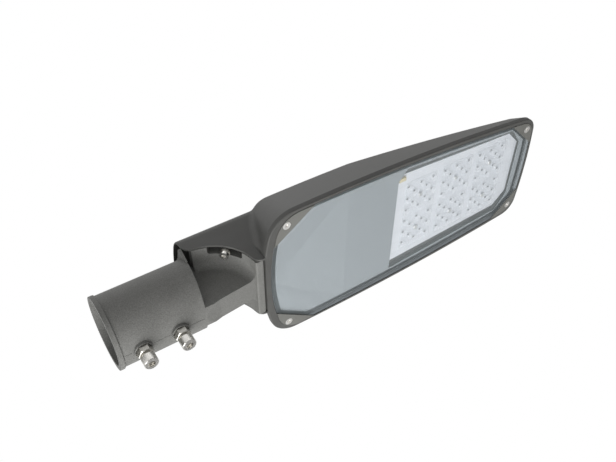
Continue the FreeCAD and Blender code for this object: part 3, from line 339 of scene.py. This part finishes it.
@dataclass(frozen=True)
class PowderCoat:
    """A satin powder coat over a casting: two near tones and a fine orange peel."""

    name: str
    light: str
    dark: str
    roughness: float = 0.5
    shine: float = 0.24
    cloud: float = 0.045
    cloud_sheen: float = 0.16
    grain: float = 0.00045
    grain_share: float = 0.25
    grain_sheen: float = 0.12
    tone_start: float = 0.25
    contrast: float = 2.0
    peel: float = 0.0009
    peel_share: float = 0.7
    peel_depth: float = 0.00006

    def make(self) -> bpy.types.Material:
        """Build the material.

        Returns:
            The material.
        """
        surface = Surface(self.name)
        cloud = surface.noise(self.cloud, detail=3.0)
        grain = surface.noise(self.grain, detail=1.0)
        peel = surface.noise(self.peel, detail=2.0)
        tone = cloud*(1.0 - self.grain_share) + grain*self.grain_share
        tone = ((tone - self.tone_start)*self.contrast).clipped()
        sheen = cloud.swing(self.cloud_sheen) + grain.swing(self.grain_sheen)
        surface.set(
            Base_Color=surface.tones(tone, self.dark, self.light),
            Roughness=sheen + self.roughness,
            Specular_IOR_Level=self.shine,
        )
        surface.relief(peel*self.peel_share + grain*(1.0 - self.peel_share), self.peel_depth)
        return surface.material


@dataclass(frozen=True)
class BlastedCasting:
    """A painted sand-blasted casting, with round grains and a dull sheen."""

    name: str
    light: str
    dark: str
    roughness: float = 0.58
    shine: float = 0.22
    cloud: float = 0.02
    cloud_share: float = 0.5
    grain: float = 0.0015
    grain_share: float = 0.3
    fine: float = 0.00075
    fine_share: float = 1.1
    fine_sheen: float = 0.2
    tone_start: float = 0.55
    height_share: float = 0.6
    depth: float = 0.0002
    strength: float = 0.8

    def make(self) -> bpy.types.Material:
        """Build the material.

        Returns:
            The material.
        """
        surface = Surface(self.name)
        cloud = surface.noise(self.cloud, detail=4.0)
        grains = surface.speckle(self.grain)
        fine = surface.noise(self.fine, detail=1.0)
        tone = cloud*self.cloud_share + fine*self.fine_share + grains*self.grain_share
        tone = (tone - self.tone_start).clipped()
        surface.set(
            Base_Color=surface.tones(tone, self.dark, self.light),
            Roughness=fine.swing(self.fine_sheen) + self.roughness,
            Specular_IOR_Level=self.shine,
        )
        height = grains*self.height_share + fine*self.height_share
        surface.relief(height, self.depth, self.strength)
        return surface.material


@dataclass(frozen=True)
class TurnedSteel:
    """Stainless steel with fine turning marks and a few dull patches."""

    name: str
    light: str = "f5f3ef"
    dark: str = "c6c4be"
    stretch: Place = (1.0, 1.0, 14.0)
    roughness: float = 0.26
    mark: float = 0.002
    mark_sheen: float = 0.18
    mark_depth: float = 0.00001
    patch: float = 0.004
    patch_sheen: float = 0.14
    share: float = 0.6
    tone_start: float = 0.1

    def make(self) -> bpy.types.Material:
        """Build the material.

        Returns:
            The material.
        """
        surface = Surface(self.name)
        marks = surface.noise(self.mark, detail=3.0, vector=surface.stretched(self.stretch))
        patches = surface.noise(self.patch, detail=2.0)
        tone = (marks*self.share + patches*self.share - self.tone_start).clipped()
        sheen = marks.swing(self.mark_sheen) + patches.swing(self.patch_sheen)
        surface.set(
            Base_Color=surface.tones(tone, self.dark, self.light),
            Metallic=1.0,
            Roughness=sheen + self.roughness,
        )
        surface.relief(marks, self.mark_depth)
        return surface.material


@dataclass(frozen=True)
class ClearPane:
    """A clear pane or moulding, seen through by its alpha, a little denser where it is dusty."""

    name: str
    tint: str
    alpha: float
    roughness: float = 0.04
    shine: float = 0.3
    ior: float = 1.5
    dust: float = 0.03
    dust_share: float = 0.02
    dust_sheen: float = 0.04
    ripple: float = 0.02
    ripple_depth: float = 0.00001
    flat: bool = True
    edge_tint: str = "a3a9ad"
    edge_alpha: float = 0.0
    edge_limit: float = 0.5
    edge_step: float = 10.0

    def make(self) -> bpy.types.Material:
        """Build the material; upright faces can be denser, as ground edges are.

        Returns:
            The material.
        """
        surface = Surface(self.name)
        dust = surface.noise(self.dust, detail=4.0)
        facing = abs(surface.part(surface.facet_normal(), Axis.Z))
        edge = ((self.edge_limit - facing)*self.edge_step).clipped()
        edge_tint = self.edge_tint if self.edge_alpha else self.tint
        alpha = dust.swing(self.dust_share) + edge*self.edge_alpha + self.alpha
        surface.set(
            Base_Color=surface.blend(edge, linear(self.tint), linear(edge_tint)),
            Alpha=alpha.clipped(),
            Roughness=dust.swing(self.dust_sheen) + self.roughness,
            IOR=self.ior,
            Specular_IOR_Level=self.shine,
        )
        ripple = surface.noise(self.ripple, detail=1.0)
        surface.relief(ripple, self.ripple_depth, flat=self.flat)
        return surface.material


@dataclass(frozen=True)
class BakedPrint:
    """The grey print under the glass, with a faint cloud and mesh, and painted light that makes it
    paler to the tip.
    """

    name: str
    light: str
    dark: str
    middle_z: float
    roughness: float = 0.42
    shine: float = 0.35
    cloud: float = 0.09
    cloud_share: float = 0.5
    mesh: float = 0.0006
    mesh_share: float = 0.12
    mesh_sheen: float = 0.1
    mesh_depth: float = 0.00001
    # The painted light along X: its slope per metre, where it starts and its share in the tone
    painted_light_slope: float = 2.4
    painted_light_start: float = 0.35
    painted_light_share: float = 0.35

    def make(self) -> bpy.types.Material:
        """Build the material; the face on the glass is left clear and the other carries the tone.

        Returns:
            The material.
        """
        surface = Surface(self.name)
        cloud = surface.noise(self.cloud, detail=3.0)
        mesh = surface.noise(self.mesh, detail=1.0)
        # Painted light: a gradient that makes the print paler towards the tip, where more light
        # falls
        painted_tip_light = (surface.along(Axis.X)*self.painted_light_slope - self.painted_light_start).clipped()
        tone = cloud*self.cloud_share + mesh*self.mesh_share + painted_tip_light*self.painted_light_share
        surface.set(
            Base_Color=surface.tones(tone.clipped(), self.dark, self.light),
            Alpha=surface.above(self.middle_z),
            Roughness=mesh.swing(self.mesh_sheen) + self.roughness,
            Specular_IOR_Level=self.shine,
        )
        surface.relief(mesh, self.mesh_depth, flat=True)
        return surface.material


@dataclass(frozen=True)
class Rubber:
    """Matt rubber or nylon with a soft grain."""

    name: str
    light: str
    dark: str
    roughness: float = 0.7
    grain: float = 0.0008
    grain_share: float = 0.4
    grain_sheen: float = 0.15
    grain_depth: float = 0.00003
    dust: float = 0.015
    face_tone: str = "93999c"
    face_z: Optional[float] = None

    def make(self) -> bpy.types.Material:
        """Build the material; below its face height it shows the tone of the sheet that it lies on.

        Returns:
            The material.
        """
        surface = Surface(self.name)
        grain = surface.noise(self.grain, detail=2.0)
        dust = surface.noise(self.dust, detail=3.0)
        tone = grain*self.grain_share + dust*(1.0 - self.grain_share)
        colour = surface.tones(tone, self.dark, self.light)
        if self.face_z is not None:
            colour = surface.blend(surface.above(self.face_z), linear(self.face_tone), colour)
        surface.set(Base_Color=colour, Roughness=grain.swing(self.grain_sheen) + self.roughness)
        surface.relief(grain, self.grain_depth)
        return surface.material


@dataclass(frozen=True)
class WhiteBoard:
    """The white coat of the light board, with thin grey tracks between the rows."""

    name: str
    coat: str
    track: str
    cloud_tone: str = "c9ced6"
    roughness: float = 0.4
    cloud: float = 0.02
    cloud_share: float = 0.5
    cloud_sheen: float = 0.1
    track_pitch: float = 0.0153
    track_width: float = 0.06
    track_share: float = 0.5
    track_depth: float = 0.00003

    def make(self) -> bpy.types.Material:
        """Build the material.

        Returns:
            The material.
        """
        surface = Surface(self.name)
        wave = (surface.along(Axis.Y)*(2*math.pi/self.track_pitch)).sine()
        track = ((wave - (1.0 - self.track_width))*(1.0/self.track_width)).clipped()
        cloud = surface.noise(self.cloud, detail=3.0)
        coat = surface.tones(cloud*self.cloud_share, self.coat, self.cloud_tone)
        surface.set(
            Base_Color=surface.blend(track*self.track_share, coat, linear(self.track)),
            Roughness=cloud.swing(self.cloud_sheen) + self.roughness,
        )
        surface.relief(track, self.track_depth)
        return surface.material


@dataclass(frozen=True)
class LightChip:
    """The pale body of the light chips, and the small dark spots of painted shade laid on them,
    with a faint grain.
    """

    name: str
    light: str
    dark: str
    roughness: float = 0.35
    grain: float = 0.0005
    grain_depth: float = 0.00002
    contrast: float = 1.4
    tone_start: float = 0.2

    def make(self) -> bpy.types.Material:
        """Build the material.

        Returns:
            The material.
        """
        surface = Surface(self.name)
        grain = surface.noise(self.grain, detail=2.0)
        tone = (grain*self.contrast - self.tone_start).clipped()
        surface.set(
            Base_Color=surface.tones(tone, self.dark, self.light),
            Roughness=self.roughness,
        )
        surface.relief(grain, self.grain_depth)
        return surface.material


def deselect() -> None:
    """Leave object mode with nothing selected."""
    if bpy.context.object and bpy.context.object.mode != "OBJECT":
        bpy.ops.object.mode_set(mode="OBJECT")
    bpy.ops.object.select_all(action="DESELECT")


def pick(piece: bpy.types.Object) -> None:
    """Select one object alone and make it active."""
    deselect()
    piece.select_set(True)
    bpy.context.view_layer.objects.active = piece


def choose(piece: bpy.types.Object, kind: str, test: Callable[[object], bool]) -> None:
    """Select the parts of a mesh that pass a test and go into edit mode.

    Args:
        piece: The object.
        kind: VERT, EDGE or FACE.
        test: A function of the vertex, edge or face.
    """
    pick(piece)
    bpy.ops.object.mode_set(mode="EDIT")
    bpy.ops.mesh.select_mode(type=kind)
    bpy.ops.mesh.select_all(action="DESELECT")
    bpy.ops.object.mode_set(mode="OBJECT")
    mesh = piece.data
    parts = {"VERT": mesh.vertices, "EDGE": mesh.edges, "FACE": mesh.polygons}[kind]
    for part in parts:
        part.select = bool(test(part))
    bpy.ops.object.mode_set(mode="EDIT")


def settle(piece: bpy.types.Object, angle: float = 35.0) -> None:
    """Put an object's place into its mesh and smooth it up to an angle.

    Args:
        piece: The object.
        angle: The steepest angle that is smoothed, in degrees.
    """
    pick(piece)
    bpy.ops.object.transform_apply(location=True, rotation=True, scale=True)
    bpy.ops.object.shade_smooth_by_angle(angle=math.radians(angle), keep_sharp_edges=False)


def apply_modifiers(piece: bpy.types.Object) -> None:
    """Apply all of an object's modifiers in order."""
    pick(piece)
    for name in [modifier.name for modifier in piece.modifiers]:
        bpy.ops.object.modifier_apply(modifier=name)


def bevelled_box(
    name: str,
    low: Place,
    high: Place,
    round_r: float,
    segments: int = 3,
) -> bpy.types.Object:
    """A box between two corners, in metres, with all its edges rounded.

    Args:
        name: The object's name.
        low: Lowest corner.
        high: Highest corner.
        round_r: Edge radius.
        segments: Steps across an edge.

    Returns:
        The object.
    """
    deselect()
    middle = [(a + b)/2 for a, b in zip(low, high)]
    bpy.ops.mesh.primitive_cube_add(size=1.0, location=middle)
    piece = bpy.context.object
    piece.name = name
    bpy.ops.object.mode_set(mode="EDIT")
    bpy.ops.mesh.select_all(action="SELECT")
    bpy.ops.transform.resize(value=[b - a for a, b in zip(low, high)])
    bpy.ops.mesh.bevel(offset=round_r, segments=segments, affect="EDGES")
    bpy.ops.object.mode_set(mode="OBJECT")
    settle(piece)
    return piece


def copies(piece: bpy.types.Object, places: Sequence[Place], name: str) -> bpy.types.Object:
    """Copy a piece to several places and join the copies into one object.

    Args:
        piece: The model, at its first place as an offset of nought.
        places: Offsets in metres.
        name: Name of the joined object.

    Returns:
        The joined object.
    """
    made = []
    for place in places:
        twin = piece.copy()
        twin.data = piece.data.copy()
        twin.data.transform(Matrix.Translation(Vector(place)))
        bpy.context.collection.objects.link(twin)
        made.append(twin)
    bpy.data.objects.remove(piece)
    pick(made[0])
    for twin in made[1:]:
        twin.select_set(True)
    if len(made) > 1:
        bpy.ops.object.join()
    joined = bpy.context.object
    joined.name = name
    return joined


def dress(piece: bpy.types.Object, material: bpy.types.Material) -> None:
    """Give a piece one material.

    Args:
        piece: A new piece or a node of the frame.
        material: Its material.
    """
    piece.data.materials.clear()
    piece.data.materials.append(material)


def dress_nodes(names: Iterable[str], material: bpy.types.Material) -> None:
    """Give nodes of the frame a material.

    Args:
        names: The nodes' names.
        material: Their material.
    """
    for name in names:
        dress(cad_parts[name], material)
        LOG.info("node %s: %s", name, material.name)


def place_piece(
    piece: bpy.types.Object,
    body: str,
    material: bpy.types.Material,
) -> None:
    """Dress a new piece and let it ride on its body.

    Args:
        piece: The piece.
        body: The body that carries it.
        material: Its material.
    """
    dress(piece, material)
    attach(piece, body)
    LOG.info("piece %s on %s: %d faces", piece.name, body, len(piece.data.polygons))


@dataclass
class PoleSpigot:
    """The cast spigot with its set screws and lock nuts."""

    tube_r: float = 34.0*MM
    line_start: float = 6.0*MM
    line_end: float = 81.0*MM
    line_y: float = -1.0*MM
    line_half: float = 0.35*MM
    line_proud: float = 0.22*MM
    line_round: float = 0.1575*MM
    screw_x: tuple[float, float] = (22.0*MM, 57.0*MM)
    screw_gaps: tuple[float, float] = (10.0*MM, 10.0*MM)
    thread_r: float = 4.0*MM
    thread_top: float = -41.6*MM
    thread_pitch: float = 1.25*MM
    thread_turns: int = 2
    thread_depth: float = 0.45*MM
    thread_steps: int = 28
    thread_angle: float = 25.0

    def build(self) -> None:
        """Dress the nodes and add the parting line and the threads."""
        casting = BlastedCasting("spigot_casting", "8d8d8a", "686865").make()
        steel = TurnedSteel("set_screw_steel").make()
        nut_steel = TurnedSteel("lock_nut_steel", "e2e0da", "a9a7a1", roughness=0.33).make()
        dress_nodes(["spigot"], casting)
        dress_nodes(["set_screws"], steel)
        dress_nodes(["lock_nuts"], nut_steel)
        line = self.parting_line()
        place_piece(line, SPIGOT, casting)
        threads = self.threads()
        place_piece(threads, SPIGOT, steel)

    def parting_line(self) -> bpy.types.Object:
        """The fine raised line that the mould leaves under the tube, between the set screws.

        Returns:
            The line.
        """
        spans = []
        starts = [self.line_start] + [x + gap for x, gap in zip(self.screw_x, self.screw_gaps)]
        ends = [x - gap for x, gap in zip(self.screw_x, self.screw_gaps)] + [self.line_end]
        for number, (start, end) in enumerate(zip(starts, ends)):
            low = (start, self.line_y - self.line_half, -self.tube_r - self.line_proud)
            high = (end, self.line_y + self.line_half, -self.tube_r + self.line_half)
            spans.append(bevelled_box(f"line_{number}", low, high, self.line_round, segments=2))
        pick(spans[0])
        for span in spans[1:]:
            span.select_set(True)
        bpy.ops.object.join()
        line = bpy.context.object
        line.name = "parting_line"
        return line

    def threads(self) -> bpy.types.Object:
        """The turns of thread that show between each lock nut and its screw's head.

        Returns:
            The threads of both screws.
        """
        deselect()
        middle = (self.thread_r, 0.0, self.thread_top)
        bpy.ops.mesh.primitive_circle_add(
            vertices=3, radius=self.thread_depth, fill_type="NOTHING", location=middle)
        profile = bpy.context.object
        bpy.ops.object.mode_set(mode="EDIT")
        bpy.ops.mesh.select_all(action="SELECT")
        quarter_back = math.radians(-90.0)
        for axis in ("X", "Y"):
            bpy.ops.transform.rotate(
                value=quarter_back, orient_axis=axis, center_override=middle)
        bpy.ops.object.mode_set(mode="OBJECT")
        bpy.ops.object.transform_apply(location=True, rotation=True, scale=True)
        screw = profile.modifiers.new("thread", "SCREW")
        screw.axis = "Z"
        screw.steps = self.thread_steps
        screw.render_steps = self.thread_steps
        screw.iterations = self.thread_turns
        screw.screw_offset = -self.thread_pitch
        apply_modifiers(profile)
        choose(profile, "EDGE", lambda edge: False)
        bpy.ops.mesh.select_non_manifold()
        bpy.ops.mesh.edge_face_add()
        bpy.ops.mesh.select_all(action="SELECT")
        bpy.ops.mesh.normals_make_consistent(inside=False)
        bpy.ops.object.mode_set(mode="OBJECT")
        settle(profile, self.thread_angle)
        return copies(profile, [(x, 0.0, 0.0) for x in self.screw_x], "set_screw_threads")


@dataclass
class HousingShell:
    """The die-cast housing."""

    def build(self) -> None:
        """Dress the housing and its fasteners."""
        coat = PowderCoat("housing_coat", "626260", "4e4e4c").make()
        steel = TurnedSteel("clamp_steel", stretch=(6.0, 1.0, 6.0)).make()
        dull = TurnedSteel("washer_steel", "c4c2bc", "85837e", roughness=0.36).make()
        dress_nodes(["housing"], coat)
        dress_nodes(["clamp_screws"], steel)
        dress_nodes(["flat_washers", "spring_washers"], dull)


@dataclass
class GlassFront:
    """The glass with its print, seal and corner clips."""

    clip_nodes: tuple[str, ...] = (
        "clip_base_left", "clip_base_right", "clip_tip_left", "clip_tip_right")
    seal_face: float = 0.05*MM

    def build(self) -> None:
        """Dress the nodes of the front."""
        glass = ClearPane("front_glass", "dfe9ec", 0.1, shine=0.15, edge_alpha=0.85).make()
        dress_nodes(["glass_pane"], glass)
        low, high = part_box("border_print")
        ink = BakedPrint("baked_print", "9ba1a5", "91979b", (low.z + high.z)/2).make()
        dress_nodes(["border_print"], ink)
        face_z = high.z + self.seal_face
        dress_nodes(["glass_seal"], Rubber("seal_rubber", "2c2c2b", "181818", face_z=face_z).make())
        clip_coat = PowderCoat("clip_coat", "7d7d79", "6b6b67", roughness=0.45).make()
        dress_nodes(self.clip_nodes, clip_coat)
        clip_steel = TurnedSteel("clip_screw_steel", "ffffff", "ece9e2", (3.0, 3.0, 1.0), 0.5)
        dress_nodes(["clip_screws"], clip_steel.make())


@dataclass
class LensField:
    """The light board with its chips, and the lens blocks over it."""

    first_x: float = 336.1*MM
    pitch: float = 49.3*MM
    count: int = 3
    column_pitch: float = 8.2*MM
    row_pitch: float = 15.3*MM
    side_columns: int = 2
    rows: int = 6
    face_z: float = -22.9*MM
    lift: float = 0.8*MM
    plate: float = 1.2*MM
    plate_x: float = 41.0*MM
    plate_y: float = 91.0*MM
    plate_round: float = 0.5*MM
    lens_r: float = 3.7*MM
    lens_height: float = 1.35*MM
    lens_stretch: float = 1.25
    lens_sink: float = 0.02*MM
    dimple_r: float = 0.3
    dimple_depth: float = 0.35
    smooth_angle: float = 50.0
    plug_low: Place = (305.2*MM, -55.0*MM, -25.0*MM)
    plug_high: Place = (313.6*MM, -50.4*MM, -22.9*MM)
    plug_round: float = 0.35*MM
    plug_contacts: int = 3
    contact_inset: float = 0.3
    contact_round: float = 0.15*MM
    # The spots of painted shade on the chips: their height, half width, thickness and rounding
    shade_spot_z: float = -23.6*MM
    shade_spot_half: float = 1.1*MM
    shade_spot_proud: float = 0.06*MM
    shade_spot_round: float = 0.036*MM

    def places(self) -> list[tuple[float, float]]:
        """Where the lenses stand in a block.

        Every second column is shifted by half a row and has no lens in its middle, and two
        places of the middle column are left to the block's screws.

        Returns:
            Offsets from the block's middle.
        """
        found = []
        middle = (self.rows - 1)/2
        for column in range(-self.side_columns, self.side_columns + 1):
            shifted = column % 2 != 0
            for row in range(self.rows - (1 if shifted else 0)):
                if shifted and row == (self.rows - 1)//2:
                    continue
                if column == 0 and row in (1, self.rows - 2):
                    continue
                y = (row - middle + (0.5 if shifted else 0.0))*self.row_pitch
                found.append((column*self.column_pitch, y))
        return found

    def painted_shade_spots(self) -> bpy.types.Object:
        """Small dark spots of painted shade in the middle of the chips, for the shade that each
        lens shows.

        Returns:
            All spots in one object.
        """
        half = self.shade_spot_half
        low = (-half, -half, self.shade_spot_z - self.shade_spot_proud)
        high = (half, half, self.shade_spot_z + self.shade_spot_proud)
        face = bevelled_box("painted_chip_shade", low, high, self.shade_spot_round, segments=2)
        spots = [
            (self.first_x + number*self.pitch + dx, dy, 0.0)
            for number in range(self.count) for dx, dy in self.places()
        ]
        return copies(face, spots, "painted_shade_spots")

    def board_plug(self) -> bpy.types.Object:
        """The small plug in the base corner of the board, with its contacts.

        Returns:
            The plug.
        """
        case = bevelled_box("board_plug", self.plug_low, self.plug_high, self.plug_round)
        left, near, bottom = self.plug_low
        right, far, top = self.plug_high
        step = (right - left)/self.plug_contacts
        inset = step*self.contact_inset
        low = (left + inset, near - inset, bottom + inset)
        high = (left + step - inset, far + inset, top)
        contact = bevelled_box("contact", low, high, self.contact_round, segments=2)
        spots = [(number*step, 0.0, 0.0) for number in range(self.plug_contacts)]
        row = copies(contact, spots, "contacts")
        pick(case)
        row.select_set(True)
        bpy.ops.object.join()
        return case

    def dome(self) -> bpy.types.Object:
        """One lens: a low dome with a dimple in front of the chip.

        Returns:
            The lens at the origin, pointing down.
        """
        deselect()
        bpy.ops.mesh.primitive_uv_sphere_add(
            segments=16, ring_count=8, radius=self.lens_r, location=(0.0, 0.0, 0.0))
        dome = bpy.context.object
        bpy.ops.object.mode_set(mode="EDIT")
        bpy.ops.mesh.select_all(action="SELECT")
        bpy.ops.mesh.bisect(
            plane_co=(0.0, 0.0, 0.0), plane_no=(0.0, 0.0, 1.0), clear_outer=True, use_fill=True)
        bpy.ops.mesh.select_all(action="SELECT")
        bpy.ops.transform.resize(value=(1.0, self.lens_stretch, self.lens_height/self.lens_r))
        bpy.ops.object.mode_set(mode="OBJECT")
        reach = self.lens_r*self.dimple_r
        half_way = -self.lens_height/2
        choose(dome, "VERT", lambda v: math.hypot(v.co.x, v.co.y) < reach and v.co.z < half_way)
        bpy.ops.transform.translate(value=(0.0, 0.0, self.lens_height*self.dimple_depth))
        bpy.ops.object.mode_set(mode="OBJECT")
        settle(dome, self.smooth_angle)
        return dome

    def block(self, number: int, clear: bpy.types.Material) -> None:
        """One lens block, in place of the frame's plain one.

        Args:
            number: The block's number, from one.
            clear: The material of the moulding.
        """
        x = self.first_x + (number - 1)*self.pitch
        low_z = self.face_z - self.lift - self.plate
        half_x, half_y = self.plate_x/2, self.plate_y/2
        low = (x - half_x, -half_y, low_z)
        high = (x + half_x, half_y, low_z + self.plate)
        plate = bevelled_box(f"lens_plate_{number}", low, high, self.plate_round, segments=2)
        spots = [(x + dx, dy, low_z + self.lens_sink) for dx, dy in self.places()]
        lenses = copies(self.dome(), spots, f"domes_{number}")
        union = plate.modifiers.new("lenses", "BOOLEAN")
        union.operation = "UNION"
        union.object = lenses
        apply_modifiers(plate)
        bpy.data.objects.remove(lenses)
        settle(plate, self.smooth_angle)
        plate.name = f"lens_moulding_{number}"
        place_piece(plate, HEAD, clear)
        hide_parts(f"lens_block_{number}")

    def build(self) -> None:
        """Dress the board and chips and add the lens blocks."""
        acrylic = ClearPane(
            "lens_acrylic", "f4f6fa", 0.1, roughness=0.08, shine=0.6, dust_share=0.04, flat=False)
        clear = acrylic.make()
        dress_nodes(["light_board"], WhiteBoard("board_coat", "e8eaef", "d3d7dc").make())
        dress_nodes(["light_chips"], LightChip("chip_body", "e4e5e6", "d2d4d8").make())
        # Painted shade: dark spots on the chips stand in for the shade seen in each lens
        painted_shade_material = LightChip("painted_chip_shade", "2e3036", "1c1e22").make()
        place_piece(self.painted_shade_spots(), HEAD, painted_shade_material)
        screw_steel = TurnedSteel("lens_screw_steel", "ffffff", "e6e6e6", roughness=0.5).make()
        dress_nodes(["lens_screws"], screw_steel)
        nylon = Rubber("plug_nylon", "e6dfc2", "c2ae78", roughness=0.45).make()
        place_piece(self.board_plug(), HEAD, nylon)
        for number in range(1, self.count + 1):
            self.block(number, clear)


@dataclass
class DriverBay:
    """The driver, the terminal block and the gland inside the head."""

    def build(self) -> None:
        """Dress the nodes of the bay."""
        dress_nodes(["driver"], Rubber("driver_case", "b9babb", "a4a5a6", roughness=0.5).make())
        terminal_nylon = Rubber("terminal_nylon", "d9d7cf", "c6c4bb", roughness=0.45).make()
        dress_nodes(["terminal_block"], terminal_nylon)
        gland_nylon = Rubber("gland_nylon", "2f2f30", "202021", roughness=0.5).make()
        dress_nodes(["cable_gland", "gland_nut"], gland_nylon)
        dress_nodes(["gland_seal"], Rubber("gland_rubber", "262626", "161616").make())
        bay_steel = TurnedSteel("bay_steel", roughness=0.35).make()
        dress_nodes(["driver_screws", "terminal_screws"], bay_steel)


@dataclass(frozen=True)
class SoftBox:
    """A square area lamp that looks at the object."""

    name: str
    place: Place
    power: float
    size: float
    aim: Place = (AIM_X, 0.0, 0.0)

    def build(self) -> None:
        """Add the lamp."""
        lamp = bpy.data.lights.new(self.name, "AREA")
        lamp.energy = self.power
        lamp.size = self.size
        holder = bpy.data.objects.new(self.name, lamp)
        holder.location = self.place
        way = Vector(self.aim) - Vector(self.place)
        holder.rotation_euler = way.to_track_quat("-Z", "Y").to_euler()
        bpy.context.collection.objects.link(holder)


@dataclass
class Studio:
    """The camera, lamps, white surroundings and pale floor."""

    lens: float = 39.44
    sensor: float = 36.0
    near_clip: float = 0.01
    eye: Place = (-0.0594, -0.4657, -0.4074)
    right: Place = (0.83301, -0.00441, -0.55324)
    up: Place = (0.37209, -0.73557, 0.56611)
    look: Place = (0.40945, 0.67743, 0.61109)
    floor_z: float = -1.4
    floor_size: float = 12.0
    floor_colour: Colour = (0.8, 0.8, 0.8)
    floor_roughness: float = 0.9
    floor_glow: Colour = (0.45, 0.45, 0.45)
    clear_layers: int = 32
    ambient: float = 0.34
    gloss: float = 0.7
    lamps: tuple[SoftBox, ...] = field(default_factory=lambda: (
        SoftBox("below", (-0.4, 0.3, -1.2), 32.0, 1.5),
        SoftBox("left", (-1.0, -0.7, -0.1), 0.9, 0.9),
        SoftBox("above", (0.3, -0.6, 1.3), 4.6, 1.2),
    ))

    def camera(self) -> None:
        """Add the camera at the photograph's place."""
        data = bpy.data.cameras.new("photo_camera")
        data.lens = self.lens
        data.sensor_width = self.sensor
        data.clip_start = self.near_clip
        holder = bpy.data.objects.new("photo_camera", data)
        columns = (self.right, self.up, tuple(-v for v in self.look))
        turn = Matrix(columns).transposed().to_4x4()
        holder.matrix_world = Matrix.Translation(Vector(self.eye)) @ turn
        bpy.context.collection.objects.link(holder)
        bpy.context.scene.camera = holder

    def surroundings(self) -> None:
        """White surroundings for the camera and reflections, and a plain level for the rest."""
        world = bpy.data.worlds.new("white_room")
        world.use_nodes = True
        tree = world.node_tree
        tree.nodes.clear()
        output = tree.nodes.new("ShaderNodeOutputWorld")
        background = tree.nodes.new("ShaderNodeBackground")
        background.inputs["Color"].default_value = (*WHITE, 1.0)
        path = tree.nodes.new("ShaderNodeLightPath")
        camera_ray = Wire(tree, path.outputs["Is Camera Ray"])
        glossy_ray = Wire(tree, path.outputs["Is Glossy Ray"])
        through_ray = Wire(tree, path.outputs["Is Transmission Ray"])
        seen = (camera_ray + glossy_ray*self.gloss + through_ray).clipped()
        strength = seen*(1.0 - self.ambient) + self.ambient
        tree.links.new(strength.socket, background.inputs["Strength"])
        tree.links.new(background.outputs[0], output.inputs["Surface"])
        bpy.context.scene.world = world

    def floor(self) -> None:
        """Add the pale floor far under the head."""
        deselect()
        place = (AIM_X, 0.0, self.floor_z)
        bpy.ops.mesh.primitive_plane_add(size=self.floor_size, location=place)
        floor = bpy.context.object
        floor.name = "pale_floor"
        surface = Surface("pale_floor")
        path = surface.add("ShaderNodeLightPath")
        glow = surface.blend(path.outputs["Is Camera Ray"], BLACK, self.floor_glow)
        surface.set(
            Base_Color=self.floor_colour,
            Roughness=self.floor_roughness,
            Emission_Color=glow,
            Emission_Strength=1.0,
        )
        dress(floor, surface.material)

    def build(self) -> None:
        """Add all that isn't part of the object."""
        self.camera()
        self.surroundings()
        self.floor()
        for lamp in self.lamps:
            lamp.build()
        bpy.context.scene.view_settings.view_transform = "Standard"
        bpy.context.scene.cycles.transparent_max_bounces = self.clear_layers


def main() -> None:
    """Build the looks."""
    logging.basicConfig(level=logging.INFO, format="%(name)s: %(message)s")
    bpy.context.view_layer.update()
    Studio().build()
    PoleSpigot().build()
    HousingShell().build()
    GlassFront().build()
    LensField().build()
    DriverBay().build()


if __name__ == "__main__":
    main()
